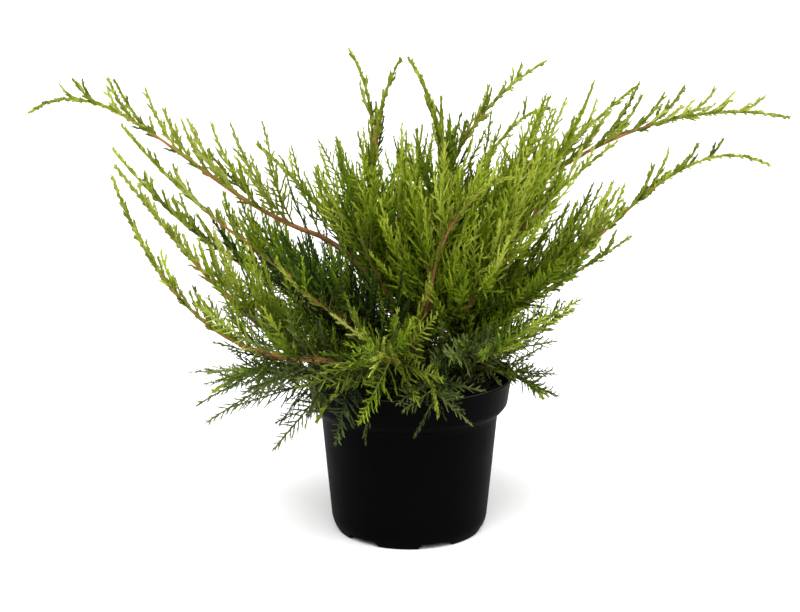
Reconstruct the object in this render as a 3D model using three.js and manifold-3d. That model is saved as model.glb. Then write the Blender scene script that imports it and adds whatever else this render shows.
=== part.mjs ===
// A potted sea green juniper: a nursery pot filled with potting mix, a short hidden stem,
// tapering boughs that fan out of it, and feathery masses of foliage on the boughs.
// Millimetres, +Z up. The origin is the centre of the pot's underside, -Y is the front.
import * as THREE from 'three';
import { mergeVertices } from 'three/addons/utils/BufferGeometryUtils.js';
import Module from 'manifold-3d';

const wasm = await Module();
wasm.setup();

// Pot
const RIM_RADIUS = 115;
const POT_HEIGHT = 178;
const COLLAR_RADIUS = 109;     // outside of the collar, at its foot
const COLLAR_FOOT = 146;
const BODY_TOP_RADIUS = 98.5;  // outside of the body, under the shoulder
const BODY_TOP = 136;
const BODY_FOOT_RADIUS = 88;
const BODY_FOOT = 22;
const FOOT_RADIUS = 81.5;
const FOOT_RING = 3;           // width of the ring that the pot stands on
const BASE_LIFT = 6;           // the base plate stands this high above the ground
const WALL = 2.4;
const NOTCHES = 6;             // drain notches in the foot ring
const FIRST_NOTCH = 51;        // azimuth of one of them, degrees
const NOTCH_WIDTH = 32;        // at the ground
const NOTCH_TOP_WIDTH = 24;
const NOTCH_HEIGHT = 5.4;
const LIP_OVERHANG = 2;        // how far the lip stands out of the collar
const LIP_HEIGHT = 5;          // with its slanted lower edge
const LIP_BAND = 3.5;          // its upright face
const SHOULDER = { out: 5.5, up: 3.4 };  // rounding between the body and the collar
const FOOT_ROUNDING = 3;
const BASE_SLANT = 1.5;
const POT_SIDES = 32;
// Outside of the wall, from the ground up: radius and height
const POT_WALL = [
  [FOOT_RADIUS, 0], [FOOT_RADIUS + FOOT_ROUNDING, BASE_LIFT], [BODY_FOOT_RADIUS, BODY_FOOT],
  [BODY_TOP_RADIUS, BODY_TOP], [BODY_TOP_RADIUS + SHOULDER.out, BODY_TOP + SHOULDER.up],
  [COLLAR_RADIUS, COLLAR_FOOT], [RIM_RADIUS - LIP_OVERHANG, POT_HEIGHT - LIP_HEIGHT],
  [RIM_RADIUS, POT_HEIGHT - LIP_BAND], [RIM_RADIUS, POT_HEIGHT],
];

// Soil and stem
const GAP = 0.3;               // between neighbours
const SOIL_TOP = 158;
const STEM_HEIGHT = 95;
const STEM_LEAN = [8, -4];     // how far the stem's top stands off its foot, in X and Y
const FLARE_RADIUS = 16;
// The stem's rings: radius and height above the soil
const STEM_WALL = [[FLARE_RADIUS, 0], [13.3, 5], [11.2, 12], [9.9, 24], [9.3, 60], [9, STEM_HEIGHT]];
const STEM_SIDES = 12;
const FORK_OFFSET = 5.6;       // from the stem's axis to the upright boughs on its top

// Limbs
const BOUGH_LENGTH = 62;       // from the stem to where most masses begin
const BOUGH_RADIUS = 4.4;
const BOUGH_TIP_RADIUS = 2.7;
const UPRIGHT_RADIUS = 3;      // of the boughs on the stem's top
const LEADER_RADIUS = 3;       // main stem of a mass, at its foot
const LEADER_TIP_RADIUS = 1.5;
const ROUTE_STEP = 24;         // between the points of a route, the rings of a bough and of a leader
const BOUGH_STEP = 20;
const LEADER_STEP = 42;
const FOOT_HANDLE = 0.35;      // curve handles, as shares of the straight length
const LEAVE_HANDLE = 0.4;
const ARRIVE_HANDLE = 0.32;

// Shoots and twigs
const BARE = 0.06;             // share of a leader below its first shoot
const LAST_SHOOT = 0.88;
const TAPER = 0.58;            // how much shorter the shoots are at a leader's tip
const SHOOT_PLACE = [0.2, 0.8];
const SHOOT_SWAY = [0.25, 0.75];  // level part of a shoot's heading, to one side
const SHOOT_LIFT = [0.15, 0.55];  // upward part, which falls off towards the leader's tip
const LIFT_FALL = 0.7;
const SHOOT_AHEAD = [0.7, 1.2];   // part along the leader, at its foot and at its tip
const SHOOT_SIZE = [0.75, 1.05];
const STEEPEST = 0.3;          // below this level share of its heading a leader counts as upright
const TWIG_SHOOT = 92;         // a shoot this long is a twig with two sprays, a shorter one is a spray
const TWIG_SHARE = 0.62;       // a twig's length, of its shoot's
const TWIG_HANDLE = 0.3;
const TWIG_LIFT = 0.35;        // how far a twig turns up
const TWIG_FOOT_RADIUS = 1.2;  // small enough to start inside the leader
const TWIG_RADIUS = 1.7;
const END_SPRAY = { place: 0.85, share: 0.7 };  // along the twig, and its length of the shoot's
const SIDE_SPRAY = { place: 0.4, share: [0.55, 0.7], sway: [0.35, 0.65], ahead: 0.9 };

// Sprays
const FINGERS = [[-44, 0.46], [-20, 0.74], [0, 1], [20, 0.74], [44, 0.46]];  // angle and length
const NOTCH_DEPTH = 0.48;      // how far the notches reach, of the shorter finger beside them
const SPRAY_THICKNESS = 3.4;
const SPRAY_NECK = 0.16;       // from a spray's root to where its fingers part, of its length
const SPRAY_HEEL = 0.7;        // how far a spray's heel runs past its twig's middle
const SPRAY_CURL = 0.12;       // how far a spray's tips curl up, of its length
const SPRAY_TRIES = [1, 0.72]; // a spray that doesn't fit is tried once more, this much shorter
const SHORTEST_SPRAY = 44;
const TIP_SPRAY = 48;          // at a leader's tip, with its fingers close together
const TIP_SPREAD = 0.55;
const TIP_TURN = 0.5;
const SPREAD = [0.7, 1];       // of a spray's fingers
const BLADE_TURN = 0.9;        // of a spray about its own middle, to either side
const FIT_SHARES = [0.35, 0.7, 1];  // where a finger is tested, along its length

// Own space
const OWN_MARGIN = 1;          // a mass ends this far short of the middle between two leaders
const LIMB_CLEARANCE = 1;      // foliage to a bough or the stem
const POT_CLEARANCE = 2;

// Each leader: where it leaves the stem (azimuth, height above the soil, rise), a joint that it bends
// through (azimuth, reach, z) and the rise there, its tip (azimuth, reach, z) and the rise there,
// its shoots and the length of the longest one, and its bough's length where it isn't the usual one.
// Degrees and millimetres.
const LEADERS = {
  right_high: { foot: [-4, 60, 56], joint: [0, 72, 330], leave: 47,
    tip: [-1, 403, 461], arrive: -12, shoots: 10, reach: 125, bough: 130 },
  right_low: { foot: [344, 30, 26], joint: [343, 102, 246], leave: 34,
    tip: [350, 375, 421], arrive: -24, shoots: 9, reach: 120 },
  right_middle: { foot: [320, 48, 52], joint: [318, 88, 272], leave: 62,
    tip: [334, 232, 448], arrive: 40, shoots: 8, reach: 130 },
  right_upper: { foot: [36, 42, 50], joint: [30, 112, 322], leave: 52,
    tip: [23, 280, 482], arrive: 34, shoots: 8, reach: 120 },
  front_right: { foot: [294, 56, 60], joint: [286, 84, 300], leave: 76,
    tip: [301, 196, 423], arrive: 12, shoots: 8, reach: 120 },
  back_right: { foot: [64, 66, 62], joint: [62, 112, 340], leave: 50,
    tip: [50, 262, 445], arrive: -6, shoots: 7, reach: 110 },
  left_high: { foot: [182, 66, 58], joint: [173, 110, 333], leave: 20,
    tip: [181, 405, 467], arrive: -35, shoots: 10, reach: 125, bough: 150 },
  left_second: { foot: [168, 46, 36], joint: [170, 124, 277], leave: 32,
    tip: [169, 325, 444], arrive: 50, shoots: 7, reach: 105 },
  left_third: { foot: [148, 38, 26], joint: [152, 135, 250], leave: 16,
    tip: [155, 383, 403], arrive: 46, shoots: 8, reach: 110 },
  left_fourth: { foot: [204, 36, 12], joint: [209, 125, 208], leave: 36,
    tip: [201, 320, 427], arrive: 54, shoots: 9, reach: 100, bough: 90 },
  left_low: { foot: [222, 20, 8], joint: [224, 150, 221], leave: 4,
    tip: [206, 330, 421], arrive: 74, shoots: 9, reach: 95, bough: 120 },
  front_left: { foot: [240, 42, 30], joint: [238, 95, 235], leave: 48,
    tip: [234, 225, 345], arrive: 62, shoots: 8, reach: 125 },
  front: { foot: [266, 24, 14], joint: [262, 105, 220], leave: 22,
    tip: [262, 259, 262], arrive: 10, shoots: 8, reach: 120 },
  right_spread: { foot: [352, 18, 15], joint: [350, 88, 203], leave: 22,
    tip: [347, 182, 260], arrive: 32, shoots: 7, reach: 95 },
  right_back: { foot: [26, 24, 20], joint: [22, 104, 222], leave: 30,
    tip: [20, 270, 312], arrive: 30, shoots: 7, reach: 130 },
  back: { foot: [96, 48, 44], joint: [96, 100, 275], leave: 42,
    tip: [93, 267, 385], arrive: 20, shoots: 8, reach: 130 },
  back_left: { foot: [126, 56, 48], joint: [125, 105, 290], leave: 38,
    tip: [128, 300, 398], arrive: 22, shoots: 7, reach: 120 },
  back_low: { foot: [74, 24, 14], joint: [74, 105, 206], leave: 16,
    tip: [70, 258, 262], arrive: 20, shoots: 6, reach: 105 },
  back_left_low: { foot: [132, 20, 10], joint: [132, 112, 202], leave: 14,
    tip: [134, 275, 262], arrive: 25, shoots: 7, reach: 105 },
  up_left: { foot: [115, 'top', 82], joint: [122, 82, 330], leave: 94,
    tip: [130, 104, 526], arrive: 55, shoots: 7, reach: 95 },
  up_mid: { foot: [190, 'top', 84], joint: [150, 42, 340], leave: 97,
    tip: [110, 28, 521], arrive: 62, shoots: 7, reach: 75 },
  up_right: { foot: [290, 'top', 84], joint: [0, 36, 330], leave: 96,
    tip: [100, 10, 523], arrive: 56, shoots: 7, reach: 75 },
  lean_right: { foot: [35, 'top', 80], joint: [50, 50, 345], leave: 84,
    tip: [28, 170, 512], arrive: 28, shoots: 7, reach: 90 },
  inner_left: { foot: [196, 82, 64],
    tip: [188, 76, 436], arrive: 84, shoots: 7, reach: 110 },
  inner_front_left: { foot: [232, 64, 58],
    tip: [236, 98, 372], arrive: 80, shoots: 7, reach: 110 },
  inner_front: { foot: [262, 72, 62],
    tip: [262, 84, 392], arrive: 82, shoots: 6, reach: 110 },
  inner_front_right: { foot: [308, 76, 60],
    tip: [312, 100, 404], arrive: 80, shoots: 7, reach: 110 },
  inner_right: { foot: [340, 82, 62],
    tip: [338, 92, 426], arrive: 78, shoots: 6, reach: 110 },
  inner_back: { foot: [84, 84, 64],
    tip: [84, 82, 438], arrive: 80, shoots: 7, reach: 110 },
  front_right_low: { foot: [304, 32, 24],
    tip: [303, 205, 256], arrive: 28, bare: 0.36, shoots: 7, reach: 110 },
  front_skirt: { foot: [284, 12, 30],
    tip: [281, 152, 172], arrive: -55, bare: 0.5, shoots: 6, reach: 70 },
  right_skirt: { foot: [330, 12, 30],
    tip: [336, 156, 166], arrive: -55, bare: 0.5, shoots: 5, reach: 70 },
  left_skirt: { foot: [214, 8, 12],
    tip: [215, 248, 196], arrive: -28, bare: 0.42, shoots: 8, reach: 95 },
  left_front_skirt: { foot: [238, 12, 30],
    tip: [233, 160, 160], arrive: -58, bare: 0.5, shoots: 5, reach: 70 },
};

const SMALLEST_EDGE = 0.02;    // finer detail is smoothed away after fusing
const MASS_SIDES = 3;          // of the leaders and twigs in a mass
const BOUGH_SIDES = 6;
const FIRST_SEED = 4001;
const SEED_STEP = 97;

const UP = new THREE.Vector3(0, 0, 1);
const radians = THREE.MathUtils.degToRad;

function polar([azimuth, reach, z]) {
  const angle = radians(azimuth);
  return new THREE.Vector3(reach * Math.cos(angle), reach * Math.sin(angle), z);
}

// The direction with this rise, in the upright plane that holds a level direction.
function rising(level, rise) {
  const angle = radians(rise);
  return level.clone().multiplyScalar(Math.cos(angle)).addScaledVector(UP, Math.sin(angle));
}

// A repeatable row of numbers from 0 to 1.
function makeDice(seed) {
  let state = seed;
  return (low = 0, high = 1) => {
    state = (state * 16807) % 2147483647;
    return low + (high - low) * (state / 2147483647);
  };
}

// Solids and geometries

function closedGeometry(points, triangles) {
  const geometry = new THREE.BufferGeometry();
  const coordinates = points.flatMap((point) => point.toArray());
  geometry.setAttribute('position', new THREE.Float32BufferAttribute(coordinates, 3));
  geometry.setIndex(triangles.flat());
  return geometry;
}

function toSolid(source) {
  const bare = source.clone();
  bare.deleteAttribute('normal');
  bare.deleteAttribute('uv');
  const merged = mergeVertices(bare, 1e-4);
  return new wasm.Manifold(new wasm.Mesh({
    numProp: 3,
    vertProperties: new Float32Array(merged.getAttribute('position').array),
    triVerts: new Uint32Array(merged.getIndex().array),
  }));
}

function toGeometry(solid) {
  const { vertProperties, triVerts } = solid.getMesh();
  const geometry = new THREE.BufferGeometry();
  geometry.setAttribute('position', new THREE.BufferAttribute(new Float32Array(vertProperties), 3));
  geometry.setIndex(Array.from(triVerts));
  geometry.computeVertexNormals();
  return geometry;
}

function lathe(profile, sides) {
  const turned = new THREE.LatheGeometry(profile.map(([r, z]) => new THREE.Vector2(r, z)), sides);
  turned.rotateX(Math.PI / 2);
  return turned;
}

// Triangles of a closed tube of rings, with a flat foot and a flat or a pointed top.
function tube(rings, sides, pointed = false) {
  const triangles = [];
  for (let i = 0; i < rings - 1; i++) {
    for (let k = 0; k < sides; k++) {
      const [a, b] = [i * sides + k, i * sides + ((k + 1) % sides)];
      triangles.push([a, b, b + sides], [a, b + sides, a + sides]);
    }
  }
  for (let k = 1; k < sides - 1; k++) triangles.push([0, k + 1, k]);
  const last = (rings - 1) * sides;
  if (pointed) {
    for (let k = 0; k < sides; k++) triangles.push([last + k, last + ((k + 1) % sides), last + sides]);
  } else {
    for (let k = 1; k < sides - 1; k++) triangles.push([last, last + k, last + k + 1]);
  }
  return triangles;
}

// A limb along a curve: rings that taper from one radius to the other. A pointed limb closes in
// one point at its end. A cut turns its first or last ring into the plane square to that direction.
function taperedLimb(curve, { from, to, sides, steps, pointed = false, startCut = null, endCut = null }) {
  const frames = curve.computeFrenetFrames(steps, false);
  const points = [];
  const rings = pointed ? steps : steps + 1;
  for (let i = 0; i < rings; i++) {
    const centre = curve.getPointAt(i / steps);
    const radius = THREE.MathUtils.lerp(from, to, i / steps);
    const normal = frames.normals[i].clone();
    const binormal = frames.binormals[i].clone();
    const cut = (i === 0 && startCut) || (i === steps && endCut);
    if (cut) {
      normal.projectOnPlane(cut).normalize();
      binormal.crossVectors(cut, normal).normalize();
    }
    for (let k = 0; k < sides; k++) {
      const angle = (2 * Math.PI * k) / sides;
      points.push(centre.clone()
        .addScaledVector(normal, radius * Math.cos(angle))
        .addScaledVector(binormal, radius * Math.sin(angle)));
    }
  }
  if (pointed) points.push(curve.getPointAt(1));
  return closedGeometry(points, tube(rings, sides, pointed));
}

// A spray: a thin blade whose outline runs round its fingers and its pointed heel. Each outline
// point joins two peaks, one on either face of the palm where the fingers part.
function palmOf({ root, along, length }) {
  return root.clone().addScaledVector(along, SPRAY_NECK * length);
}

function sprayPoints(spray) {
  const { root, along, face, length, spread } = spray;
  const palm = palmOf(spray);
  const side = new THREE.Vector3().crossVectors(face, along).normalize();
  const at = (angle, share) => {
    const turned = radians(angle * spread);
    const reach = share * length;
    return palm.clone()
      .addScaledVector(along, reach * Math.cos(turned))
      .addScaledVector(side, reach * Math.sin(turned))
      .addScaledVector(face, SPRAY_CURL * length * share ** 2);
  };
  const outline = [];
  FINGERS.forEach(([angle, share], i) => {
    outline.push(at(angle, share * (1 - SPRAY_NECK)));
    if (i === FINGERS.length - 1) return;
    const [nextAngle, nextShare] = FINGERS[i + 1];
    outline.push(at((angle + nextAngle) / 2, NOTCH_DEPTH * Math.min(share, nextShare)));
  });
  outline.push(root.clone().addScaledVector(along, -SPRAY_HEEL));
  return outline;
}

function sprayGeometry(spray) {
  const outline = sprayPoints(spray);
  const count = outline.length;
  const top = palmOf(spray).addScaledVector(spray.face, SPRAY_THICKNESS / 2);
  const bottom = palmOf(spray).addScaledVector(spray.face, -SPRAY_THICKNESS / 2);
  const triangles = [];
  for (let i = 0; i < count; i++) {
    const next = (i + 1) % count;
    triangles.push([i, next, count], [next, i, count + 1]);
  }
  return closedGeometry([...outline, top, bottom], triangles);
}

// Distances

function distanceToLine(point, line) {
  let nearest = Infinity;
  const segment = new THREE.Line3();
  const foot = new THREE.Vector3();
  for (let i = 0; i < line.length - 1; i++) {
    segment.set(line[i], line[i + 1]).closestPointToPoint(point, true, foot);
    nearest = Math.min(nearest, foot.distanceTo(point));
  }
  return nearest;
}

// Nearest distance between the segments a-b and c-d.
function segmentGap(a, b, c, d) {
  const u = b.clone().sub(a);
  const v = d.clone().sub(c);
  const w = a.clone().sub(c);
  const [uu, uv, vv, uw, vw] = [u.dot(u), u.dot(v), v.dot(v), u.dot(w), v.dot(w)];
  const clamp = (x) => Math.min(1, Math.max(0, x));
  const crossing = uu * vv - uv * uv;
  let s = crossing > 1e-9 ? clamp((uv * vw - vv * uw) / crossing) : 0;
  let t = clamp((uv * s + vw) / vv);
  s = clamp((uv * t - uw) / uu);
  t = clamp((uv * s + vw) / vv);
  return a.clone().addScaledVector(u, s).distanceTo(c.clone().addScaledVector(v, t));
}

// The pot, the soil and the stem

// The radius of a turned wall at this height.
function radiusOf(wall, z) {
  const above = wall.findIndex(([, height]) => z < height);
  if (above < 0) return wall.at(-1)[0];
  const [[r0, z0], [r1, z1]] = wall.slice(above - 1, above + 1);
  return THREE.MathUtils.mapLinear(z, z0, z1, r0, r1);
}

function makePot() {
  const insideFoot = FOOT_RADIUS - FOOT_RING;
  const profile = [
    [0, BASE_LIFT], [insideFoot - BASE_SLANT, BASE_LIFT], [insideFoot, 0], ...POT_WALL,
    [RIM_RADIUS - WALL, POT_HEIGHT], [COLLAR_RADIUS - WALL, COLLAR_FOOT],
    [BODY_TOP_RADIUS - WALL, BODY_TOP + WALL], [BODY_FOOT_RADIUS - WALL, BODY_FOOT],
    [FOOT_RADIUS - BASE_SLANT, BASE_LIFT + WALL], [0, BASE_LIFT + WALL],
  ];
  let pot = toSolid(lathe(profile, POT_SIDES));
  const cutDepth = BODY_FOOT_RADIUS - insideFoot + FOOT_RING;
  const notch = new THREE.Shape([
    new THREE.Vector2(-NOTCH_WIDTH / 2, -1), new THREE.Vector2(NOTCH_WIDTH / 2, -1),
    new THREE.Vector2(NOTCH_TOP_WIDTH / 2, NOTCH_HEIGHT),
    new THREE.Vector2(-NOTCH_TOP_WIDTH / 2, NOTCH_HEIGHT),
  ]);
  for (let i = 0; i < NOTCHES; i++) {
    const cutter = new THREE.ExtrudeGeometry(notch, { depth: cutDepth, bevelEnabled: false });
    cutter.rotateX(Math.PI / 2);
    cutter.translate(0, BODY_FOOT_RADIUS, 0);
    cutter.rotateZ(radians(FIRST_NOTCH + (360 * i) / NOTCHES) - Math.PI / 2);
    pot = pot.subtract(toSolid(cutter));
  }
  return toGeometry(pot);
}

function makeSoil() {
  const inside = (r, z) => [r - WALL - GAP, z];
  const topRadius = radiusOf(POT_WALL, SOIL_TOP) - WALL - 2 * GAP;
  return lathe([
    [0, BASE_LIFT + WALL + GAP], [FOOT_RADIUS - BASE_SLANT - GAP, BASE_LIFT + WALL + GAP],
    inside(BODY_FOOT_RADIUS, BODY_FOOT + GAP), inside(BODY_TOP_RADIUS, BODY_TOP + WALL + GAP),
    inside(COLLAR_RADIUS, COLLAR_FOOT + GAP), [topRadius, SOIL_TOP], [0, SOIL_TOP],
  ], POT_SIDES);
}

function stemPoint(height) {
  const share = height / STEM_HEIGHT;
  return new THREE.Vector3(STEM_LEAN[0] * share, STEM_LEAN[1] * share, SOIL_TOP + GAP + height);
}

// The stem's rings are level, so its foot is a flat cut on the soil.
function makeStem() {
  const points = STEM_WALL.flatMap(([radius, height]) => (
    Array.from({ length: STEM_SIDES }, (_, k) => (
      polar([(360 * k) / STEM_SIDES, radius, 0]).add(stemPoint(height))))));
  return closedGeometry(points, tube(STEM_WALL.length, STEM_SIDES));
}

// Routes of the boughs and of the leaders in the masses

function levelTo(from, to) {
  return to.clone().sub(from).setZ(0).normalize();
}

function bend(from, start, startShare, to, end, endShare) {
  const length = from.distanceTo(to);
  return new THREE.CubicBezierCurve3(
    from, from.clone().addScaledVector(start, startShare * length),
    to.clone().addScaledVector(end, -endShare * length), to,
  );
}

// How far out the stem's nearest corner reaches at this height, on this side.
function stemReach(azimuth, height) {
  const corner = THREE.MathUtils.euclideanModulo(azimuth + 180 / STEM_SIDES, 360 / STEM_SIDES);
  const level = polar([azimuth, 1, 0]);
  return stemPoint(height).setZ(0).dot(level)
    + radiusOf(STEM_WALL, height) * Math.cos(radians(corner - 180 / STEM_SIDES));
}

// Where a limb of this radius stands 0.3 mm clear of the stem: on its flat top, or upright beside
// it, as far out as the flared and leaning stem reaches at the limb's lower or upper edge.
function stemFoot([azimuth, height, rise], radius) {
  const level = polar([azimuth, 1, 0]);
  const direction = rising(level, rise);
  if (height === 'top') {
    const onTop = stemPoint(STEM_HEIGHT).addScaledVector(level, FORK_OFFSET);
    return { point: onTop.addScaledVector(UP, GAP), direction, cut: UP, radius };
  }
  const reach = Math.max(stemReach(azimuth, height - radius), stemReach(azimuth, height + radius)) + GAP;
  const point = stemPoint(height);
  const out = reach - point.clone().setZ(0).dot(level);
  return { point: point.addScaledVector(level, out), direction, cut: level, radius };
}

// The stretch of a path between two lengths along it, as a curve of its own.
function stretch(path, from, to) {
  const total = path.getLength();
  const count = Math.max(4, Math.round((to - from) / ROUTE_STEP));
  return new THREE.CatmullRomCurve3(Array.from({ length: count + 1 }, (_, i) => (
    path.getPointAt(THREE.MathUtils.lerp(from, to, i / count) / total))), false, 'centripetal');
}

// A leader with a joint has a bough from the stem to where its mass begins, and bends through the
// joint. One without is all mass, from the stem to its tip.
function routeOf(leader) {
  const tip = polar(leader.tip);
  if (!leader.joint) {
    const foot = stemFoot(leader.foot, LEADER_RADIUS);
    const end = rising(levelTo(foot.point, tip), leader.arrive);
    const mass = bend(foot.point, foot.direction, LEAVE_HANDLE, tip, end, ARRIVE_HANDLE);
    return { bough: null, mass, massCut: foot.cut };
  }
  const joint = polar(leader.joint);
  const level = levelTo(joint, tip);
  const through = rising(level, leader.leave);
  const foot = stemFoot(leader.foot, leader.foot[1] === 'top' ? UPRIGHT_RADIUS : BOUGH_RADIUS);
  const path = new THREE.CurvePath();
  path.add(bend(foot.point, foot.direction, FOOT_HANDLE, joint, through, FOOT_HANDLE));
  path.add(bend(joint, through, LEAVE_HANDLE, tip, rising(level, leader.arrive), ARRIVE_HANDLE));
  const begins = leader.bough ?? BOUGH_LENGTH;
  return {
    bough: stretch(path, 0, begins),
    boughFoot: foot,
    mass: stretch(path, begins + GAP, path.getLength()),
    massCut: path.getTangentAt(begins / path.getLength()),
  };
}

const LINE_POINTS = 16;        // in the lines that distances are measured to
const mapValues = (table, change) => (
  Object.fromEntries(Object.entries(table).map(([name, value]) => [name, change(value)])));
const routes = mapValues(LEADERS, routeOf);
const leaderLines = mapValues(routes, (route) => route.mass.getPoints(LINE_POINTS));
const boughLines = Object.values(routes).filter(({ bough }) => bough)
  .map(({ bough }) => bough.getPoints(LINE_POINTS));
const stemLine = [stemPoint(0), stemPoint(STEM_HEIGHT)];

// A mass of foliage keeps to the space that is nearer to its own leader than to any other.

function nearPot(point) {
  if (point.z > POT_HEIGHT + POT_CLEARANCE) return false;
  const reach = Math.hypot(point.x, point.y);
  const inside = radiusOf(POT_WALL, point.z) - WALL - POT_CLEARANCE;
  if (point.z > SOIL_TOP + POT_CLEARANCE && reach < inside) return false;
  return reach < RIM_RADIUS + POT_CLEARANCE;
}

function inOwnSpace(name, point) {
  if (nearPot(point)) return false;
  const own = distanceToLine(point, leaderLines[name]);
  return Object.entries(leaderLines).every(([other, line]) => (
    other === name || distanceToLine(point, line) > own + OWN_MARGIN));
}

function clearOfLimbs(a, b) {
  const clear = (line, radius) => line.slice(1).every((point, i) => (
    segmentGap(a, b, line[i], point) > radius + LIMB_CLEARANCE));
  return clear(stemLine, FLARE_RADIUS) && boughLines.every((line) => clear(line, BOUGH_RADIUS));
}

function fits(name, root, points) {
  return points.every((point) => (
    FIT_SHARES.every((share) => inOwnSpace(name, root.clone().lerp(point, share)))
    && clearOfLimbs(root, point)));
}

// The seeded rule: shoots stand along the leader, to either side in turn, swept up and towards its
// tip, long near its foot and short near its tip.
function* shootsOf(leader, route, dice) {
  for (let i = 0; i < leader.shoots; i++) {
    const place = (i + dice(...SHOOT_PLACE)) / leader.shoots;
    const share = THREE.MathUtils.lerp(leader.bare ?? BARE, LAST_SHOOT, place);
    const tangent = route.getTangentAt(share);
    const level = new THREE.Vector3().crossVectors(tangent, UP);
    if (level.length() < STEEPEST) level.copy(polar([dice(0, 360), 1, 0]));
    level.normalize();
    const hand = i % 2 ? 1 : -1;
    const sway = hand * dice(...SHOOT_SWAY);
    const lift = dice(...SHOOT_LIFT) * (1 - LIFT_FALL * share);
    yield {
      root: route.getPointAt(share),
      along: tangent.clone().multiplyScalar(THREE.MathUtils.lerp(...SHOOT_AHEAD, share))
        .addScaledVector(UP, lift).addScaledVector(level, sway).normalize(),
      size: leader.reach * (1 - TAPER * share) * dice(...SHOOT_SIZE),
      turn: dice(-BLADE_TURN, BLADE_TURN),
      spread: dice(...SPREAD),
      sideSway: level.clone().multiplyScalar(-hand * dice(...SIDE_SPRAY.sway)),
      sideShare: dice(...SIDE_SPRAY.share),
      sideSpread: dice(...SPREAD),
    };
  }
}

// The way a spray's upper face looks, turned about the spray.
function faceOf(along, turn) {
  const level = new THREE.Vector3().crossVectors(along, UP).normalize();
  return new THREE.Vector3().crossVectors(level, along).applyAxisAngle(along, turn).normalize();
}

// A mass is its leader with the shoots fused on. A short shoot is a single spray. A long one is a
// twig with a spray at its tip and one at its side. What would leave the space is left out.
function growMass(name, leader, seed) {
  const dice = makeDice(seed);
  const route = routes[name].mass;
  const routeLength = route.getLength();
  const parts = [toSolid(taperedLimb(route, {
    from: LEADER_RADIUS, to: LEADER_TIP_RADIUS, sides: MASS_SIDES,
    steps: Math.max(5, Math.round(routeLength / LEADER_STEP)),
    pointed: true, startCut: routes[name].massCut,
  }))];
  const addSpray = (root, along, turn, size, spread) => {
    const spray = { root, along, face: faceOf(along, turn), spread };
    const length = SPRAY_TRIES.map((share) => share * Math.max(size, SHORTEST_SPRAY))
      .find((tried) => fits(name, root, sprayPoints({ ...spray, length: tried })));
    if (length) parts.push(toSolid(sprayGeometry({ ...spray, length })));
  };
  for (const shoot of shootsOf(leader, route, dice)) {
    const { root, along, size, turn, spread } = shoot;
    if (size < TWIG_SHOOT) {
      addSpray(root, along, turn, size, spread);
      continue;
    }
    const twigTip = root.clone().addScaledVector(along, size * TWIG_SHARE);
    const raised = along.clone().addScaledVector(UP, TWIG_LIFT).normalize();
    const twig = bend(root, along, TWIG_HANDLE, twigTip, raised, TWIG_HANDLE);
    if (!fits(name, root, [twig.getPointAt(0.5), twigTip])) continue;
    parts.push(toSolid(taperedLimb(twig, {
      from: TWIG_FOOT_RADIUS, to: TWIG_RADIUS, sides: MASS_SIDES, steps: 2, pointed: true,
    })));
    addSpray(twig.getPointAt(END_SPRAY.place), raised, turn, size * END_SPRAY.share, spread);
    const heading = twig.getTangentAt(SIDE_SPRAY.place).multiplyScalar(SIDE_SPRAY.ahead)
      .add(shoot.sideSway).normalize();
    addSpray(twig.getPointAt(SIDE_SPRAY.place), heading, turn, size * shoot.sideShare, shoot.sideSpread);
  }
  const tipRoot = route.getPointAt(1 - TIP_SPRAY / routeLength);
  const tipAlong = polar(leader.tip).sub(tipRoot).normalize();
  addSpray(tipRoot, tipAlong, dice(-TIP_TURN, TIP_TURN), TIP_SPRAY, TIP_SPREAD);
  const pieces = wasm.Manifold.union(parts).simplify(SMALLEST_EDGE).decompose();
  pieces.sort((a, b) => b.volume() - a.volume());
  return toGeometry(pieces[0]);
}

// Assembly

const MATERIALS = {
  pot: { color: 0x151513, roughness: 0.55 },
  soil: { color: 0x2a1f17, roughness: 0.95 },
  bark: { color: 0x7a4a34, roughness: 0.85 },
  foliage: { color: 0x6f8f2c, roughness: 0.6 },
  shadedFoliage: { color: 0x47682c, roughness: 0.6 },
};
const SHADED = /skirt|low|inner|back/;

const juniper = new THREE.Group();

function addPart(name, geometry, { color, roughness }) {
  const material = new THREE.MeshStandardMaterial({ color, roughness, metalness: 0 });
  const mesh = new THREE.Mesh(geometry, material);
  mesh.name = name;
  juniper.add(mesh);
}

addPart('pot', makePot(), MATERIALS.pot);
addPart('soil', makeSoil(), MATERIALS.soil);
addPart('stem', makeStem(), MATERIALS.bark);

Object.entries(LEADERS).forEach(([name, leader], i) => {
  const { bough, boughFoot, massCut } = routes[name];
  if (bough) {
    addPart(`bough_${name}`, taperedLimb(bough, {
      from: boughFoot.radius, to: BOUGH_TIP_RADIUS, sides: BOUGH_SIDES,
      steps: Math.round(bough.getLength() / BOUGH_STEP), startCut: boughFoot.cut, endCut: massCut,
    }), MATERIALS.bark);
  }
  const green = SHADED.test(name) ? MATERIALS.shadedFoliage : MATERIALS.foliage;
  addPart(`mass_${name}`, growMass(name, leader, FIRST_SEED + SEED_STEP * i), green);
});

export default juniper;
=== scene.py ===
"""A potted sea green juniper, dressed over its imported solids: pot, potting mix, bark and foliage.

The foliage grows by the same seeded rule as the solids, from the same leaders, and goes on to
finer shoots. Sizes in the tables are in millimetres, meshes are in metres.
"""

import math

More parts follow.
